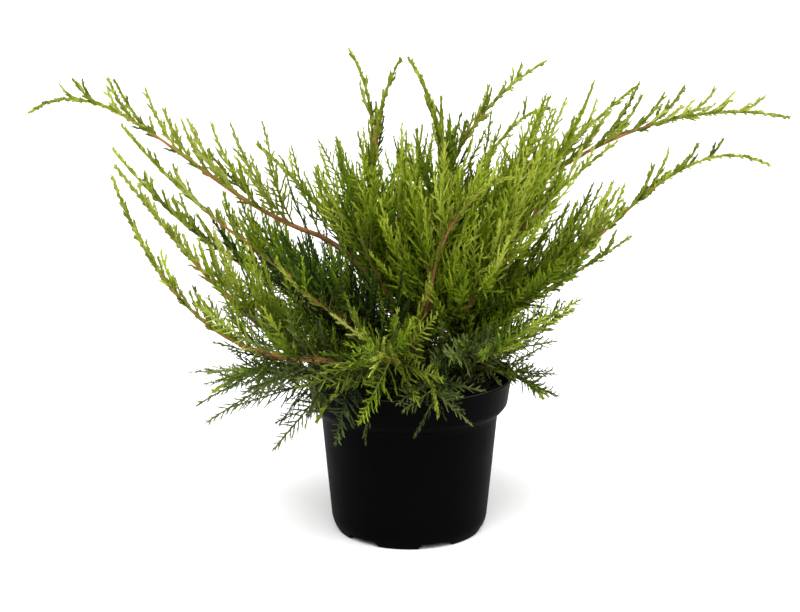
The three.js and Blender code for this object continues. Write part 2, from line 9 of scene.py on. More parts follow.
import bmesh
import bpy
import numpy as np
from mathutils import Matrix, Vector


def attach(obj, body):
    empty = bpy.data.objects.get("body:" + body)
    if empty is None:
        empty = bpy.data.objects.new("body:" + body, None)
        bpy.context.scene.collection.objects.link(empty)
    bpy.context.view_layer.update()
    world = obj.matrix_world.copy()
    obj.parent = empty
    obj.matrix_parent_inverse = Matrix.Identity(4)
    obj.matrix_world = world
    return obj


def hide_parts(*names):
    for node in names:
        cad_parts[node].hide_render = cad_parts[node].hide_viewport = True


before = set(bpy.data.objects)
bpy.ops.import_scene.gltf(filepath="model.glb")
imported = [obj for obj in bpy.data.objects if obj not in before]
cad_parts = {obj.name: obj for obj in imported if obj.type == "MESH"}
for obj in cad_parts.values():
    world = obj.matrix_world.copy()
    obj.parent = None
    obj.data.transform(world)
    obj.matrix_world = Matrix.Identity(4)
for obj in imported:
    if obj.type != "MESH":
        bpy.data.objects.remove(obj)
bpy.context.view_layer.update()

MM = 0.001
UP = np.array([0.0, 0.0, 1.0])

# Pot
RIM_RADIUS = 115
POT_HEIGHT = 178
COLLAR_RADIUS = 109
COLLAR_FOOT = 146
BODY_TOP_RADIUS = 98.5
BODY_TOP = 136
BODY_FOOT_RADIUS = 88
BODY_FOOT = 22
FOOT_RADIUS = 81.5
FOOT_RING = 3
BASE_LIFT = 6
BASE_SLANT = 1.5
WALL = 2.4
NOTCHES = 6
FIRST_NOTCH = 51
NOTCH_WIDTH = 42
NOTCH_TOP_WIDTH = 34
NOTCH_HEIGHT = 6.6
NOTCH_PAST = 4
SHARP_EDGE = 38
POT_SIDES = 192

# Soil and stem
GAP = 0.3
SOIL_TOP = 158
STEM_HEIGHT = 95
STEM_LEAN = (8, -4)
STEM_WALL = [(16, 0), (13.3, 5), (11.2, 12), (9.9, 24), (9.3, 60), (9, STEM_HEIGHT)]
STEM_SIDES = 12
FORK_OFFSET = 5.6

# Limbs
BOUGH_LENGTH = 62
BOUGH_RADIUS = 4.4
BOUGH_TIP_RADIUS = 2.7
UPRIGHT_RADIUS = 3
LEADER_RADIUS = 3
FOOT_HANDLE = 0.35
LEAVE_HANDLE = 0.4
ARRIVE_HANDLE = 0.32

# Shoots and twigs, as in the solids
BARE = 0.06
LAST_SHOOT = 0.88
TAPER = 0.58
SHOOT_PLACE = (0.2, 0.8)
SHOOT_SWAY = (0.25, 0.75)
SHOOT_LIFT = (0.15, 0.55)
LIFT_FALL = 0.7
SHOOT_AHEAD = (0.7, 1.2)
SHOOT_SIZE = (0.75, 1.05)
STEEPEST = 0.3
TWIG_SHOOT = 92
TWIG_SHARE = 0.62
END_SPRAY = {"place": 0.85, "share": 0.7}
SIDE_SPRAY = {"place": 0.4, "share": (0.55, 0.7), "sway": (0.35, 0.65), "ahead": 0.9}
SPREAD = (0.7, 1)
BLADE_TURN = 0.9
FIRST_SEED = 4001
SEED_STEP = 97

# Leaders. Azimuths and rises are in degrees, the rest in millimetres.
# foot: azimuth, height above the soil and rise where it leaves the stem. joint: azimuth, reach and z
# of a point that it bends through, and leave, its rise there. tip: azimuth, reach and z, and arrive,
# its rise there. shoots: how many the source's rule gives it, and reach, the longest one's length.
# bough: how much of it is a bough. bare: the share of it without shoots.
# The other keys are for the finer plumes, and a pair of values is for the leader's foot and its tip.
# leafy: how many times as many there are. comb: how many times as long. lift: the lowest and highest
# rise of their foot, and how much more their tip rises. rise: how much more they rise out at the
# leader's tip. light: how much lighter all its plumes are, as painted light and painted shade for how
# lit its place in the crown is. fresh: none of them gets the greyish greens of the painted shade near
# the pot. swing: how far they turn to the right, looking out along it. clad: how many times as close
# the
# clumps on its bark are. tall: single high plumes, with their share of the way along, their length and
# lean to +X.
LEADERS = {
    "right_high": dict(foot=(-4, 60, 56), joint=(0, 72, 330), leave=47, tip=(-1, 403, 461), arrive=-12,
        shoots=10, reach=125, bough=130, leafy=(0.8, 1.5), comb=1.3, lift=(0.3, 1.0, 0.4),
        light=(0.1, 1.6)),
    "right_low": dict(foot=(344, 30, 26), joint=(343, 102, 246), leave=34, tip=(350, 375, 421),
        arrive=-24, shoots=9, reach=120, leafy=(1.8, 0.4), lift=(0.0, 0.9, 0.3),
        light=(-0.1, 0.0)),
    "right_middle": dict(foot=(320, 48, 52), joint=(318, 88, 272), leave=62, tip=(334, 232, 448),
        arrive=40, shoots=8, reach=130, leafy=(2.3, 1.5), lift=(-0.6, 1, 0.6), light=(1.1, 0.3)),
    "right_upper": dict(foot=(36, 42, 50), joint=(30, 112, 322), leave=52, tip=(23, 280, 482),
        arrive=34, shoots=8, reach=120, leafy=(0.9, 0.9), light=(-0.3, 0.1)),
    "front_right": dict(foot=(294, 56, 60), joint=(286, 84, 300), leave=76, tip=(301, 196, 423),
        arrive=12, shoots=8, reach=120, leafy=(1.6, 0.8), light=(0.6, 0.7), clad=3),
    "back_right": dict(foot=(64, 66, 62), joint=(62, 112, 340), leave=50, tip=(50, 262, 445), arrive=-6,
        shoots=7, reach=110, leafy=(0.8, 0.5), light=(-0.8, 0)),
    "left_high": dict(foot=(182, 66, 58), joint=(173, 110, 333), leave=20, tip=(181, 405, 467),
        arrive=-35, shoots=10, reach=125, bough=150, leafy=(0.02, 1.0), comb=1.2, lift=(0.9, 1.8, 1.1),
        tall=((0.37, 115, -0.2), (0.27, 100, -0.12))),
    "left_second": dict(foot=(168, 46, 36), joint=(170, 124, 277), leave=32, tip=(169, 325, 444),
        arrive=50, shoots=7, reach=105, leafy=(0.95, 1.1), comb=0.72, lift=(0.3, 1.3, 1.0),
        light=(-0.6, 0.5)),
    "left_third": dict(foot=(148, 38, 26), joint=(152, 135, 250), leave=16, tip=(155, 383, 403),
        arrive=46, shoots=8, reach=110, leafy=(1.2, 2.4), lift=(0.0, 1.2, 0.9), light=(-2.4, 0.4)),
    "left_fourth": dict(foot=(204, 36, 12), joint=(209, 125, 208), leave=36, tip=(201, 320, 427),
        arrive=54, shoots=9, reach=100, bough=90, leafy=(1.2, 2.0), lift=(0.3, 1.3, 1.0),
        light=(0.7, 0.8)),
    "left_low": dict(foot=(222, 20, 8), joint=(224, 150, 221), leave=4, tip=(206, 330, 421), arrive=74,
        shoots=9, reach=95, bough=120, leafy=(1.5, 1.1), comb=1.2, lift=(-0.9, 1.0, 0.1), rise=1.0,
        light=(0.1, 1.1)),
    "front_left": dict(foot=(240, 42, 30), joint=(238, 95, 235), leave=48, tip=(234, 225, 345),
        arrive=62, shoots=8, reach=125, leafy=(1.2, 1.1), light=(-2.9, -2.6)),
    "front": dict(foot=(266, 24, 14), joint=(262, 105, 220), leave=22, tip=(262, 259, 262), arrive=10,
        shoots=8, reach=120, leafy=(1.6, 1.8), comb=0.7, lift=(-0.9, 0.8, 0.1), light=(-0.3, 0.5),
        fresh=True, swing=0.5),
    "right_spread": dict(foot=(352, 18, 15), joint=(350, 88, 203), leave=22, tip=(347, 182, 260),
        arrive=32, shoots=7, reach=95, leafy=(0.15, 0.15)),
    "right_back": dict(foot=(26, 24, 20), joint=(22, 104, 222), leave=30, tip=(20, 270, 312), arrive=30,
        shoots=7, reach=130, leafy=(0.4, 0.2)),
    "back": dict(foot=(96, 48, 44), joint=(96, 100, 275), leave=42, tip=(93, 267, 385), arrive=20,
        shoots=8, reach=130, light=(-0.2, 0.2)),
    "back_left": dict(foot=(126, 56, 48), joint=(125, 105, 290), leave=38, tip=(128, 300, 398),
        arrive=22, shoots=7, reach=120, leafy=(0.7, 0.2), comb=0.8, light=(-0.6, 0.3)),
    "back_low": dict(foot=(74, 24, 14), joint=(74, 105, 206), leave=16, tip=(70, 258, 262), arrive=20,
        shoots=6, reach=105, leafy=(1.5, 0.6), lift=(-0.2, 0.6, 0.1), light=(-0.7, -0.8)),
    "back_left_low": dict(foot=(132, 20, 10), joint=(132, 112, 202), leave=14, tip=(134, 275, 262),
        arrive=25, shoots=7, reach=105, comb=1.4, lift=(-0.2, 0.6, 0.1),
        light=(-0.1, -0.2)),
    "up_left": dict(foot=(115, "top", 82), joint=(122, 82, 330), leave=94, tip=(130, 104, 526),
        arrive=55, shoots=7, reach=95, leafy=(0.6, 1.4)),
    "up_mid": dict(foot=(190, "top", 84), joint=(150, 42, 340), leave=97, tip=(110, 28, 521), arrive=62,
        shoots=7, reach=75, leafy=(0.6, 1.2)),
    "up_right": dict(foot=(290, "top", 84), joint=(0, 36, 330), leave=96, tip=(100, 10, 523), arrive=56,
        shoots=7, reach=75, leafy=(0.6, 2.4), comb=1.15, lift=(0.5, 1.4, 0.8)),
    "lean_right": dict(foot=(35, "top", 80), joint=(50, 50, 345), leave=84, tip=(28, 170, 512),
        arrive=28, shoots=7, reach=90, leafy=(0.8, 1.2), comb=1.15, lift=(0.4, 1.3, 0.8)),
    "inner_left": dict(foot=(196, 82, 64), tip=(188, 76, 436), arrive=84, shoots=7, reach=110,
        leafy=(1.8, 0.3), comb=0.72, light=(0.1, 0.3), tall=((0.6, 95, -0.5),)),
    "inner_front_left": dict(foot=(232, 64, 58), tip=(236, 98, 372), arrive=80, shoots=7, reach=110,
        leafy=(1.3, 1.0)),
    "inner_front": dict(foot=(262, 72, 62), tip=(262, 84, 392), arrive=82, shoots=6, reach=110,
        leafy=(1.3, 1.1)),
    "inner_front_right": dict(foot=(308, 76, 60), tip=(312, 100, 404), arrive=80, shoots=7, reach=110,
        leafy=(1.4, 1.0), light=(0.3, 0.3)),
    "inner_right": dict(foot=(340, 82, 62), tip=(338, 92, 426), arrive=78, shoots=6, reach=110,
        leafy=(0.3, 0.3)),
    "inner_back": dict(foot=(84, 84, 64), tip=(84, 82, 438), arrive=80, shoots=7, reach=110,
        leafy=(0.4, 0.4), comb=1.15),
    "front_right_low": dict(foot=(304, 32, 24), tip=(303, 205, 256), arrive=28, shoots=7, reach=110,
        bare=0.36, leafy=(2.0, 0.3), comb=0.88, lift=(-0.1, 0.6, 0.1), light=(0.3, 0.2)),
    "front_skirt": dict(foot=(284, 12, 30), tip=(281, 152, 172), arrive=-55, shoots=6, reach=70,
        bare=0.5, leafy=(2.3, 0.5), comb=0.8, lift=(-0.8, 0.45, 0.0), light=(0.0, 0.1)),
    "right_skirt": dict(foot=(330, 12, 30), tip=(336, 156, 166), arrive=-55, shoots=5, reach=70,
        bare=0.5, leafy=(3.6, 0.3), comb=0.75, lift=(-0.3, 0.9, 0.1), light=(1.4, 0.6)),
    "left_skirt": dict(foot=(214, 8, 12), tip=(215, 248, 196), arrive=-28, shoots=8, reach=95,
        bare=0.42, leafy=(0.6, 1.0), comb=1.3, lift=(-0.8, 0.2, -0.1), light=(-0.4, 1.0)),
    "left_front_skirt": dict(foot=(238, 12, 30), tip=(233, 160, 160), arrive=-58, shoots=5, reach=70,
        bare=0.5, leafy=(0.6, 0.2), comb=0.8, lift=(-1.1, 0.1, -0.3), light=(-2.8, -1.8)),
}


# Node trees

class Value:
    """A number that a socket gives. Arithmetic on it adds Math nodes to its tree."""

    def __init__(self, tree, socket):
        self.tree = tree
        self.socket = socket

    def _math(self, operation, *terms):
        return self.tree.add("ShaderNodeMath", {"operation": operation}, dict(enumerate(terms)))[0]

    def __add__(self, other):
        return self._math("ADD", self, other)

    __radd__ = __add__

    def __sub__(self, other):
        return self._math("SUBTRACT", self, other)

    def __rsub__(self, other):
        return self._math("SUBTRACT", other, self)

    def __mul__(self, other):
        return self._math("MULTIPLY", self, other)

    __rmul__ = __mul__

    def cosine(self):
        return self._math("COSINE", self)

    def sine(self):
        return self._math("SINE", self)

class Tree:
    """A node tree that is written as calls."""

    def __init__(self, nodes):
        self.nodes = nodes

    def add(self, kind, settings=None, sockets=None):
        """Adds a node of this type with its settings, then the values or links of its sockets."""
        node = self.nodes.nodes.new(kind)
        for name, setting in (settings or {}).items():
            if name == "stops":
                ramp = node.color_ramp.elements
                while len(ramp) < len(setting):
                    ramp.new(1)
                for stop, (position, colour) in zip(ramp, setting):
                    stop.position = position
                    stop.color = (*colour, 1)
            elif name == "captures":
                for label, data_type in setting:
                    node.capture_items.new(data_type, label)
            else:
                setattr(node, name, setting)
        for name, given in (sockets or {}).items():
            for one in given if isinstance(given, list) else [given]:
                if isinstance(one, Value):
                    self.nodes.links.new(one.socket, node.inputs[name])
                else:
                    node.inputs[name].default_value = one
        return Outputs(self, node)

    def mix(self, share, first, second):
        """A colour between two colours."""
        return self.add("ShaderNodeMix", {"data_type": "RGBA"},
                        {"Factor": share, 6: first, 7: second})[2]


class Outputs:
    """A node's output sockets, by name or number."""

    def __init__(self, tree, node):
        self.tree = tree
        self.node = node

    def __getitem__(self, name):
        return Value(self.tree, self.node.outputs[name])


def noise(tree, vector, scale, detail=3.0, roughness=0.5):
    return tree.add("ShaderNodeTexNoise", {}, {
        "Vector": vector, "Scale": scale, "Detail": detail, "Roughness": roughness})["Fac"]


def rgb(*levels):
    """A colour as a socket takes it, from levels of 0 to 255 as a screen shows them."""
    return (*(((c / 255 + 0.055) / 1.055) ** 2.4 if c > 10 else c / 255 / 12.92 for c in levels), 1)


# Shares, directions and dice

def between(low, high, value):
    """How far a value has come from low to high, as a share."""
    return np.clip((value - low) / (high - low), 0, 1)


def mixed(pair, share):
    return pair[0] + (pair[1] - pair[0]) * share


def unit(vectors):
    return vectors / np.linalg.norm(vectors, axis=-1, keepdims=True)


def polar(azimuth, reach, z):
    """The point at this azimuth in degrees, distance from the pot's axis, and height."""
    angle = math.radians(azimuth)
    return np.array([reach * math.cos(angle), reach * math.sin(angle), z])


def rising(level, rise):
    """A level direction, tilted up by this many degrees."""
    return level * math.cos(math.radians(rise)) + UP * math.sin(math.radians(rise))


DICE_FACTOR = 16807
DICE_RANGE = 2147483647


def make_dice(seed):
    """The source's dice: from one seed, always the same throws."""
    state = seed

    def dice(low, high):
        nonlocal state
        state = state * DICE_FACTOR % DICE_RANGE
        return low + (high - low) * state / DICE_RANGE

    return dice


# Routes, by the source's rule

BEND_POINTS = 48
TANGENT_STEP = 0.01
PART_STEP = 4
PART_LEAST = 6


class Route:
    """A line of points that is read by its share of the length."""

    def __init__(self, points):
        self.points = points
        steps = np.linalg.norm(np.diff(points, axis=0), axis=1)
        self.marks = np.concatenate([[0], np.cumsum(steps)])
        self.length = self.marks[-1]

    def at(self, share):
        place = np.asarray(share) * self.length
        return np.stack([np.interp(place, self.marks, self.points[:, k]) for k in range(3)], axis=-1)

    def tangent(self, share):
        share = np.asarray(share)
        ahead = self.at(np.minimum(share + TANGENT_STEP, 1))
        return unit(ahead - self.at(np.maximum(share - TANGENT_STEP, 0)))

    def part(self, start, end):
        """The stretch between two lengths along it."""
        count = max(PART_LEAST, int((end - start) / PART_STEP))
        return Route(self.at(np.linspace(start, end, count) / self.length))


def bend_points(start, leave, leave_share, end, arrive, arrive_share):
    """A curve between two points that leaves and arrives in given directions. The shares are its
    handles' lengths, as shares of the distance."""
    size = np.linalg.norm(end - start)
    corners = [start, start + leave * leave_share * size, end - arrive * arrive_share * size, end]
    t = np.linspace(0, 1, BEND_POINTS)[:, None]
    weights = [(1 - t) ** 3, 3 * t * (1 - t) ** 2, 3 * t ** 2 * (1 - t), t ** 3]
    return sum(weight * corner for weight, corner in zip(weights, corners))


def stem_point(height):
    """The middle of the leaning stem at a height above the soil."""
    share = height / STEM_HEIGHT
    return np.array([STEM_LEAN[0] * share, STEM_LEAN[1] * share, SOIL_TOP + GAP + height])


def stem_reach(azimuth, height):
    """How far the stem's wall is from the pot's axis in this direction."""
    side = 360 / STEM_SIDES
    corner = (azimuth + side / 2) % side - side / 2
    heights = [z for _, z in STEM_WALL]
    radius = np.interp(height, heights, [r for r, _ in STEM_WALL])
    return stem_point(height)[:2] @ polar(azimuth, 1, 0)[:2] + radius * math.cos(math.radians(corner))


def stem_foot(foot, radius):
    """Where a limb of this radius starts, a hair clear of the stem, and its direction there."""
    azimuth, height, rise = foot
    level = polar(azimuth, 1, 0)
    if height == "top":
        return stem_point(STEM_HEIGHT) + level * FORK_OFFSET + UP * GAP, rising(level, rise)
    reach = max(stem_reach(azimuth, height - radius), stem_reach(azimuth, height + radius)) + GAP
    point = stem_point(height)
    return point + level * (reach - point[:2] @ level[:2]), rising(level, rise)


def level_to(start, end):
    """The level direction from one point to another."""
    return unit((end - start) * [1, 1, 0])


def routes_of(leader):
    """The bough's route, or None, and the route of the leader in its mass."""
    tip = polar(*leader["tip"])
    if "joint" not in leader:
        start, leave = stem_foot(leader["foot"], LEADER_RADIUS)
        arrive = rising(level_to(start, tip), leader["arrive"])
        return None, Route(bend_points(start, leave, LEAVE_HANDLE, tip, arrive, ARRIVE_HANDLE))
    joint = polar(*leader["joint"])
    level = level_to(joint, tip)
    through = rising(level, leader["leave"])
    on_top = leader["foot"][1] == "top"
    start, leave = stem_foot(leader["foot"], UPRIGHT_RADIUS if on_top else BOUGH_RADIUS)
    whole = Route(np.concatenate([
        bend_points(start, leave, FOOT_HANDLE, joint, through, FOOT_HANDLE)[:-1],
        bend_points(joint, through, LEAVE_HANDLE, tip, rising(level, leader["arrive"]), ARRIVE_HANDLE),
    ]))
    begins = leader.get("bough", BOUGH_LENGTH)
    return whole.part(0, begins), whole.part(begins, whole.length)


ROUTES = {name: routes_of(leader) for name, leader in LEADERS.items()}


# Shoots

class Shoots:
    """Many shoots at once. Each runs from its root along its way and bends aside towards its tip."""

    FIELDS = ("root", "way", "bend", "face", "length", "tone", "thick", "needled", "flat", "outer",
              "hue")

    def __init__(self, **fields):
        for name in self.FIELDS:
            setattr(self, name, np.asarray(fields[name], dtype=float))

    def __len__(self):
        return len(self.length)

    def take(self, chosen):
        return Shoots(**{name: getattr(self, name)[chosen] for name in self.FIELDS})

    @staticmethod
    def of(ones):
        return Shoots(**{name: [one[name] for one in ones] for name in Shoots.FIELDS})

    @staticmethod
    def join(groups):
        return Shoots(**{name: np.concatenate([getattr(group, name) for group in groups])
                         for name in Shoots.FIELDS})

    def at(self, share):
        reach = (self.length * share)[:, None]
        return self.root + (self.way + self.bend * share[:, None]) * reach

    def tangent(self, share):
        return unit(self.way + 2 * self.bend * share[:, None])


# Radians from one shoot or leaf to the next, round a twig
SPIRAL = 2.4
# Where in its step a side shoot stands, how much its turn and angle vary, and its size and bend
STEP_SHARES = (0.15, 0.85)
ROUND_SPREAD = 0.3
FLAT_SPREAD = 0.28
TIP_CLOSES = 0.25
ANGLE_SPREAD = 6
SIDE_SIZE = (0.65, 1.15)
SIDE_BEND = (0.0, 0.3)
# On the arms: how much closer side shoots lie, how much longer every third one is, how much shorter
# the others, and how much less they brighten towards the tip
ARM_PRESSED = 0.25
ARM_BRANCH_EVERY = 3
ARM_BRANCH = 1.5
ARM_KNOB = 0.7
ARM_EVENER = 0.5


def dealt(amounts):
    """How many pieces each parent gets for its amount, and each piece's parent and its place there."""
    counts = np.maximum(1, np.round(amounts)).astype(int)
    owner = np.repeat(np.arange(len(counts)), counts)
    return counts, owner, np.arange(len(owner)) - np.repeat(np.cumsum(counts) - counts, counts)


def side_shoots(parents, rule, rng):
    """Shoots to the sides of others: left and right in turn on a flat spray, else all the way round."""
    run = rule["last"] - rule["first"]
    spacing = np.where(parents.flat > 0.5, rule["flat_spacing"], rule["spacing"])
    counts, owner, order = dealt(parents.length * run / spacing)
    own = parents.take(owner)
    count = len(owner)
    share = rule["first"] + run * (order + rng.uniform(*STEP_SHARES, count)) / counts[owner]
    ahead = own.tangent(share)
    side = unit(np.cross(own.face, ahead))
    face = np.cross(ahead, side)
    first_turn = rng.uniform(0, 2 * np.pi, len(parents))[owner]
    round_turn = first_turn + order * SPIRAL + rng.normal(0, ROUND_SPREAD, count)
    flat_turn = order % 2 * np.pi + rng.normal(0, FLAT_SPREAD, count)
    is_flat = own.flat > 0.5
    turn = np.where(is_flat, flat_turn, round_turn)
    aside = np.cos(turn)[:, None] * side + np.sin(turn)[:, None] * face
    open_angle = np.where(is_flat, rule["flat_angle"], rule["angle"] * (1 - ARM_PRESSED * own.outer))
    degrees = open_angle * (1 - TIP_CLOSES * share) + rng.normal(0, ANGLE_SPREAD, count)
    angle = np.radians(degrees)[:, None]
    way = unit(np.cos(angle) * ahead + np.sin(angle) * aside)
    length = rule["length"](own.length, share) * rng.uniform(*SIDE_SIZE, count)
    length *= np.where(is_flat, rule["flat_reach"], 1)
    length *= mixed((1, np.where(order % ARM_BRANCH_EVERY == 0, ARM_BRANCH, ARM_KNOB)), own.outer)
    forward = ahead - (ahead * way).sum(1)[:, None] * way
    lift = UP - way[:, 2:3] * way
    return Shoots(
        root=own.at(share), way=way, face=face, length=length,
        bend=forward * rng.uniform(*SIDE_BEND, count)[:, None] + lift * rule["lift"],
        tone=own.tone + rule["brighten"] * (1 - ARM_EVENER * own.outer) * share
        + rng.normal(0, rule["mottle"], count),
        thick=own.thick * mixed((rule["thinner"], 1), own.outer), needled=own.needled, flat=own.flat,
        outer=own.outer, hue=own.hue,
    )


# How much lighter a shoot's last sprig is than its first, and how much less so on the arms: partly the
# young tips' own lighter green, partly painted shade on the older inner foliage
TIP_BRIGHTER = 1.4
ARM_TIP_EVENER = 0.7


def along_shoots(shoots, sprig_length):
    """Cuts shoots into rows of sprigs: where each starts, how it runs, its face and its looks."""
    counts, owner, order = dealt(shoots.length / sprig_length)
    own = shoots.take(owner)
    start = own.at(order / counts[owner])
    end = own.at((order + 1) / counts[owner])
    last = order == counts[owner] - 1
    return {
        "place": start, "run": end - start, "face": own.face, "last": last,
        "tone": own.tone + (TIP_BRIGHTER - ARM_TIP_EVENER * own.outer) * order / counts[owner],
        "thick": own.thick, "needled": own.needled, "hue": own.hue,
    }


# How much further than to its own leader a point may be than to another's, and how clear it stays of
# the pot's rim and potting mix and of its wall's inside
MINGLE = 45
RIM_CLEARANCE = 3
WALL_CLEARANCE = 4


def fits(name, points):
    """Whether each point is nearer to its own leader than to any other, but for a share of overlap
    that lets neighbouring sprays mingle, and outside the pot."""
    def distance(line):
        start, end = line[:-1], line[1:]
        run = end - start
        offset = points[:, None, :] - start
        share = np.clip((offset * run).sum(2) / (run * run).sum(1), 0, 1)
        return np.linalg.norm(offset - share[..., None] * run, axis=2).min(1)

    own = distance(LINES[name])
    others = np.min([distance(line) for other, line in LINES.items() if other != name], axis=0)
    reach = np.hypot(points[:, 0], points[:, 1])
    in_pot = (points[:, 2] < POT_HEIGHT + RIM_CLEARANCE) & (reach < RIM_RADIUS + RIM_CLEARANCE) & (
        (points[:, 2] < SOIL_TOP + RIM_CLEARANCE) | (reach > COLLAR_RADIUS - WALL_CLEARANCE))
    return (others + MINGLE > own) & ~in_pot


def whole_route(bough, mass):
    return mass if bough is None else Route(np.vstack([bough.points, mass.points[1:]]))


LINE_POINTS = 19
WHOLE = {name: whole_route(*routes) for name, routes in ROUTES.items()}
LINES = {name: route.at(np.linspace(0, 1, LINE_POINTS)) for name, route in WHOLE.items()}


def shoots_of(leader, route, dice):
    """The source's rule for the shoots along a leader. The spreads are drawn as there, and not used."""
    for i in range(leader["shoots"]):
        place = (i + dice(*SHOOT_PLACE)) / leader["shoots"]
        bare = leader.get("bare", BARE)
        share = bare + (LAST_SHOOT - bare) * place
        tangent = route.tangent(share)
        level = np.cross(tangent, UP)
        if np.linalg.norm(level) < STEEPEST:
            level = polar(dice(0, 360), 1, 0)
        level = unit(level)
        hand = 1 if i % 2 else -1
        sway = hand * dice(*SHOOT_SWAY)
        lift = dice(*SHOOT_LIFT) * (1 - LIFT_FALL * share)
        ahead = SHOOT_AHEAD[0] + (SHOOT_AHEAD[1] - SHOOT_AHEAD[0]) * share
        yield {
            "share": share,
            "root": route.at(share),
            "along": unit(tangent * ahead + UP * lift + level * sway),
            "size": leader["reach"] * (1 - TAPER * share) * dice(*SHOOT_SIZE),
            "turn": dice(-BLADE_TURN, BLADE_TURN),
            "spread": dice(*SPREAD),
            "side_sway": level * -hand * dice(*SIDE_SPRAY["sway"]),
            "side_share": dice(*SIDE_SPRAY["share"]),
            "side_spread": dice(*SPREAD),
        }


def face_of(along, turn):
    """The upper face of a shoot that heads along, turned about it by this many radians."""
    side = unit(np.cross(along, UP))
    face = np.cross(side, along)
    return unit(face * math.cos(turn) + np.cross(along, face) * math.sin(turn))


# The dense middle of the crown: its centre, half its size, and where it begins and ends, in such sizes
CORE_PLACE = np.array([0.0, 0.0, 240.0])
CORE_SIZE = np.array([200.0, 165.0, 150.0])
CORE_EDGE = (1.3, 0.8)
# Where the arms, the crown's tips, the greyer greens of the painted shade near the pot and the darker
# tones of the painted shade low down begin and end: heights, and reaches aside
ARM_HEIGHTS = (240.0, 330.0)
ARM_REACHES = (110.0, 230.0)
TIP_HEIGHTS = (390.0, 470.0)
GREY_HEIGHTS = (205.0, 280.0)
LOW_HEIGHTS = (215, 300)
LOW_SPREAD = 22


def core_share(point):
    """1 in the dense middle of the crown, 0 out on its arms."""
    return between(*CORE_EDGE, np.linalg.norm((point - CORE_PLACE) / CORE_SIZE, axis=-1))


def arm_share(point):
    """1 on the arms that reach out and on the crown's tips, 0 in its middle and low down."""
    aside = between(*ARM_REACHES, np.abs(point[..., 0]))
    high = between(*TIP_HEIGHTS, point[..., 2])
    return (1 - core_share(point)) * between(*ARM_HEIGHTS, point[..., 2]) * np.maximum(aside, high)


# Tones go from 0, the darkest green, to LIGHTEST. Low plumes and those in the crown's middle are
# darker, as painted shade, and those out on the arms lighter, as painted light.
LIGHTEST = 7
TONE = {"mean": 3.9, "low": -1.7, "core": -0.9, "spread": 0.9, "arm": 0.6}
FLAT_ODDS = {"all": 0.15, "low": 0.8, "arm": -0.15}
NEEDLED_ODDS = 0.3


def look_at(point, rng):
    """How light a plume is, with painted shade low down and in the crown's middle, and whether it is
    flat and needled: low ones are dark, flat combs.
    """
    low = 1 - float(between(*LOW_HEIGHTS, point[2] + rng.normal(0, LOW_SPREAD)))
    tone = TONE["mean"] + TONE["low"] * low + TONE["core"] * core_share(point)
    return {
        "tone": tone + rng.normal(0, TONE["spread"]),
        "flat": float(rng.random() < FLAT_ODDS["all"] + FLAT_ODDS["low"] * low
                      + FLAT_ODDS["arm"] * arm_share(point)),
        "needled": float(rng.random() < NEEDLED_ODDS * low),
    }


# A plume's bend, the sizes that it is tried at, and where along it its clearance is looked at
PLUME_BEND = 0.5
PLUME_TRIES = (1, 0.85, 0.72, 0.58, 0.45)
TRIED_AT = (0.4, 0.75, 1.0)
LONGEST_FORCED = 60
FLAT_TURN = (0.7, 1.45)
THICKNESS = (1.28, 0.84)


def plume(name, root, way, tip_way, length, turn, light, rng):
    """A plume, shortened until it keeps to its mass's own space. A long one that can't is left out."""
    bend = (tip_way - way) * PLUME_BEND
    shares = np.array(TRIED_AT)[:, None]
    for share in PLUME_TRIES:
        size = length * share
        if fits(name, root + (way + bend * shares) * shares * size).all():
            break
    else:
        if length > LONGEST_FORCED:
            return None
    middle = root + way * size * 0.5
    look = look_at(middle, rng)
    outer = arm_share(middle)
    # Painted light and shade: the leader's own lightness for how lit its place is, and lighter out on
    # the arms
    look["tone"] += light
    look["tone"] += TONE["arm"] * outer
    if look["flat"]:
        turn = math.copysign(mixed(FLAT_TURN, abs(turn) / BLADE_TURN), turn)
    return {"root": root, "way": way, "bend": bend, "face": face_of(way, turn), "length": size,
            "thick": mixed(THICKNESS, 1 - outer), "outer": outer, "hue": 0, **look}


PLUME_LIFT = 1.2
SIDE_PLUME_LIFT = 0.2
TIP_SHARES = (0.45, 0.9)
TIP_SHORTER = (1.0, 0.55)


def plumes_of(name, leader, route, seed, rng):
    """Plumes along a leader, by the source's rule. Long shoots carry a second plume at their side."""
    found = []
    for shoot in shoots_of(leader, route, make_dice(seed)):
        way, size, turn, root = (shoot[key] for key in ("along", "size", "turn", "root"))
        raised = unit(way + UP * PLUME_LIFT)
        light = mixed(leader.get("light", (0, 0)), shoot["share"])
        size *= mixed(TIP_SHORTER, float(between(*TIP_SHARES, shoot["share"])))
        if size < TWIG_SHOOT:
            found.append(plume(name, root, way, raised, size, turn, light, rng))
            continue
        length = size * (TWIG_SHARE * END_SPRAY["place"] + END_SPRAY["share"])
        main = plume(name, root, way, raised, length, turn, light, rng)
        found.append(main)
        if main is None:
            continue
        heading = unit(way * SIDE_SPRAY["ahead"] + shoot["side_sway"])
        side_root = root + way * size * TWIG_SHARE * SIDE_SPRAY["place"]
        found.append(plume(name, side_root, heading, unit(heading + UP * SIDE_PLUME_LIFT),
                           size * shoot["side_share"], turn, light, rng))
    return [one for one in found if one is not None]


# The finer plumes along a leader. A pair is for the arms and for the crown's middle.
FINER_START = 24
FINER_END = 0.86
FINER_STEP = (24, 5.0)
FINER_STEP_SPREAD = (0.6, 1.4)
FINER_AHEAD = (0.7, 1.1)
FINER_LIFT = (0.0, 1.1, 0.8)
FINER_LIFT_FALL = 0.3
FINER_LEAST_SWAY = 0.1
FINER_MOST_SWAY = (0.7, 1.2)
FINER_SIZE_SPREAD = (0.55, 1.2)
ARM_SIZE = 0.55
ARM_SIZE_FALL = 1.15
LEAFY_SIZE_POWER = 0.3
TALL_FORWARD = 0.1
TALL_TURN = 0.3
# How much lighter the tall plumes are, as painted light at the crown's top
TALL_LIGHT = 0.6


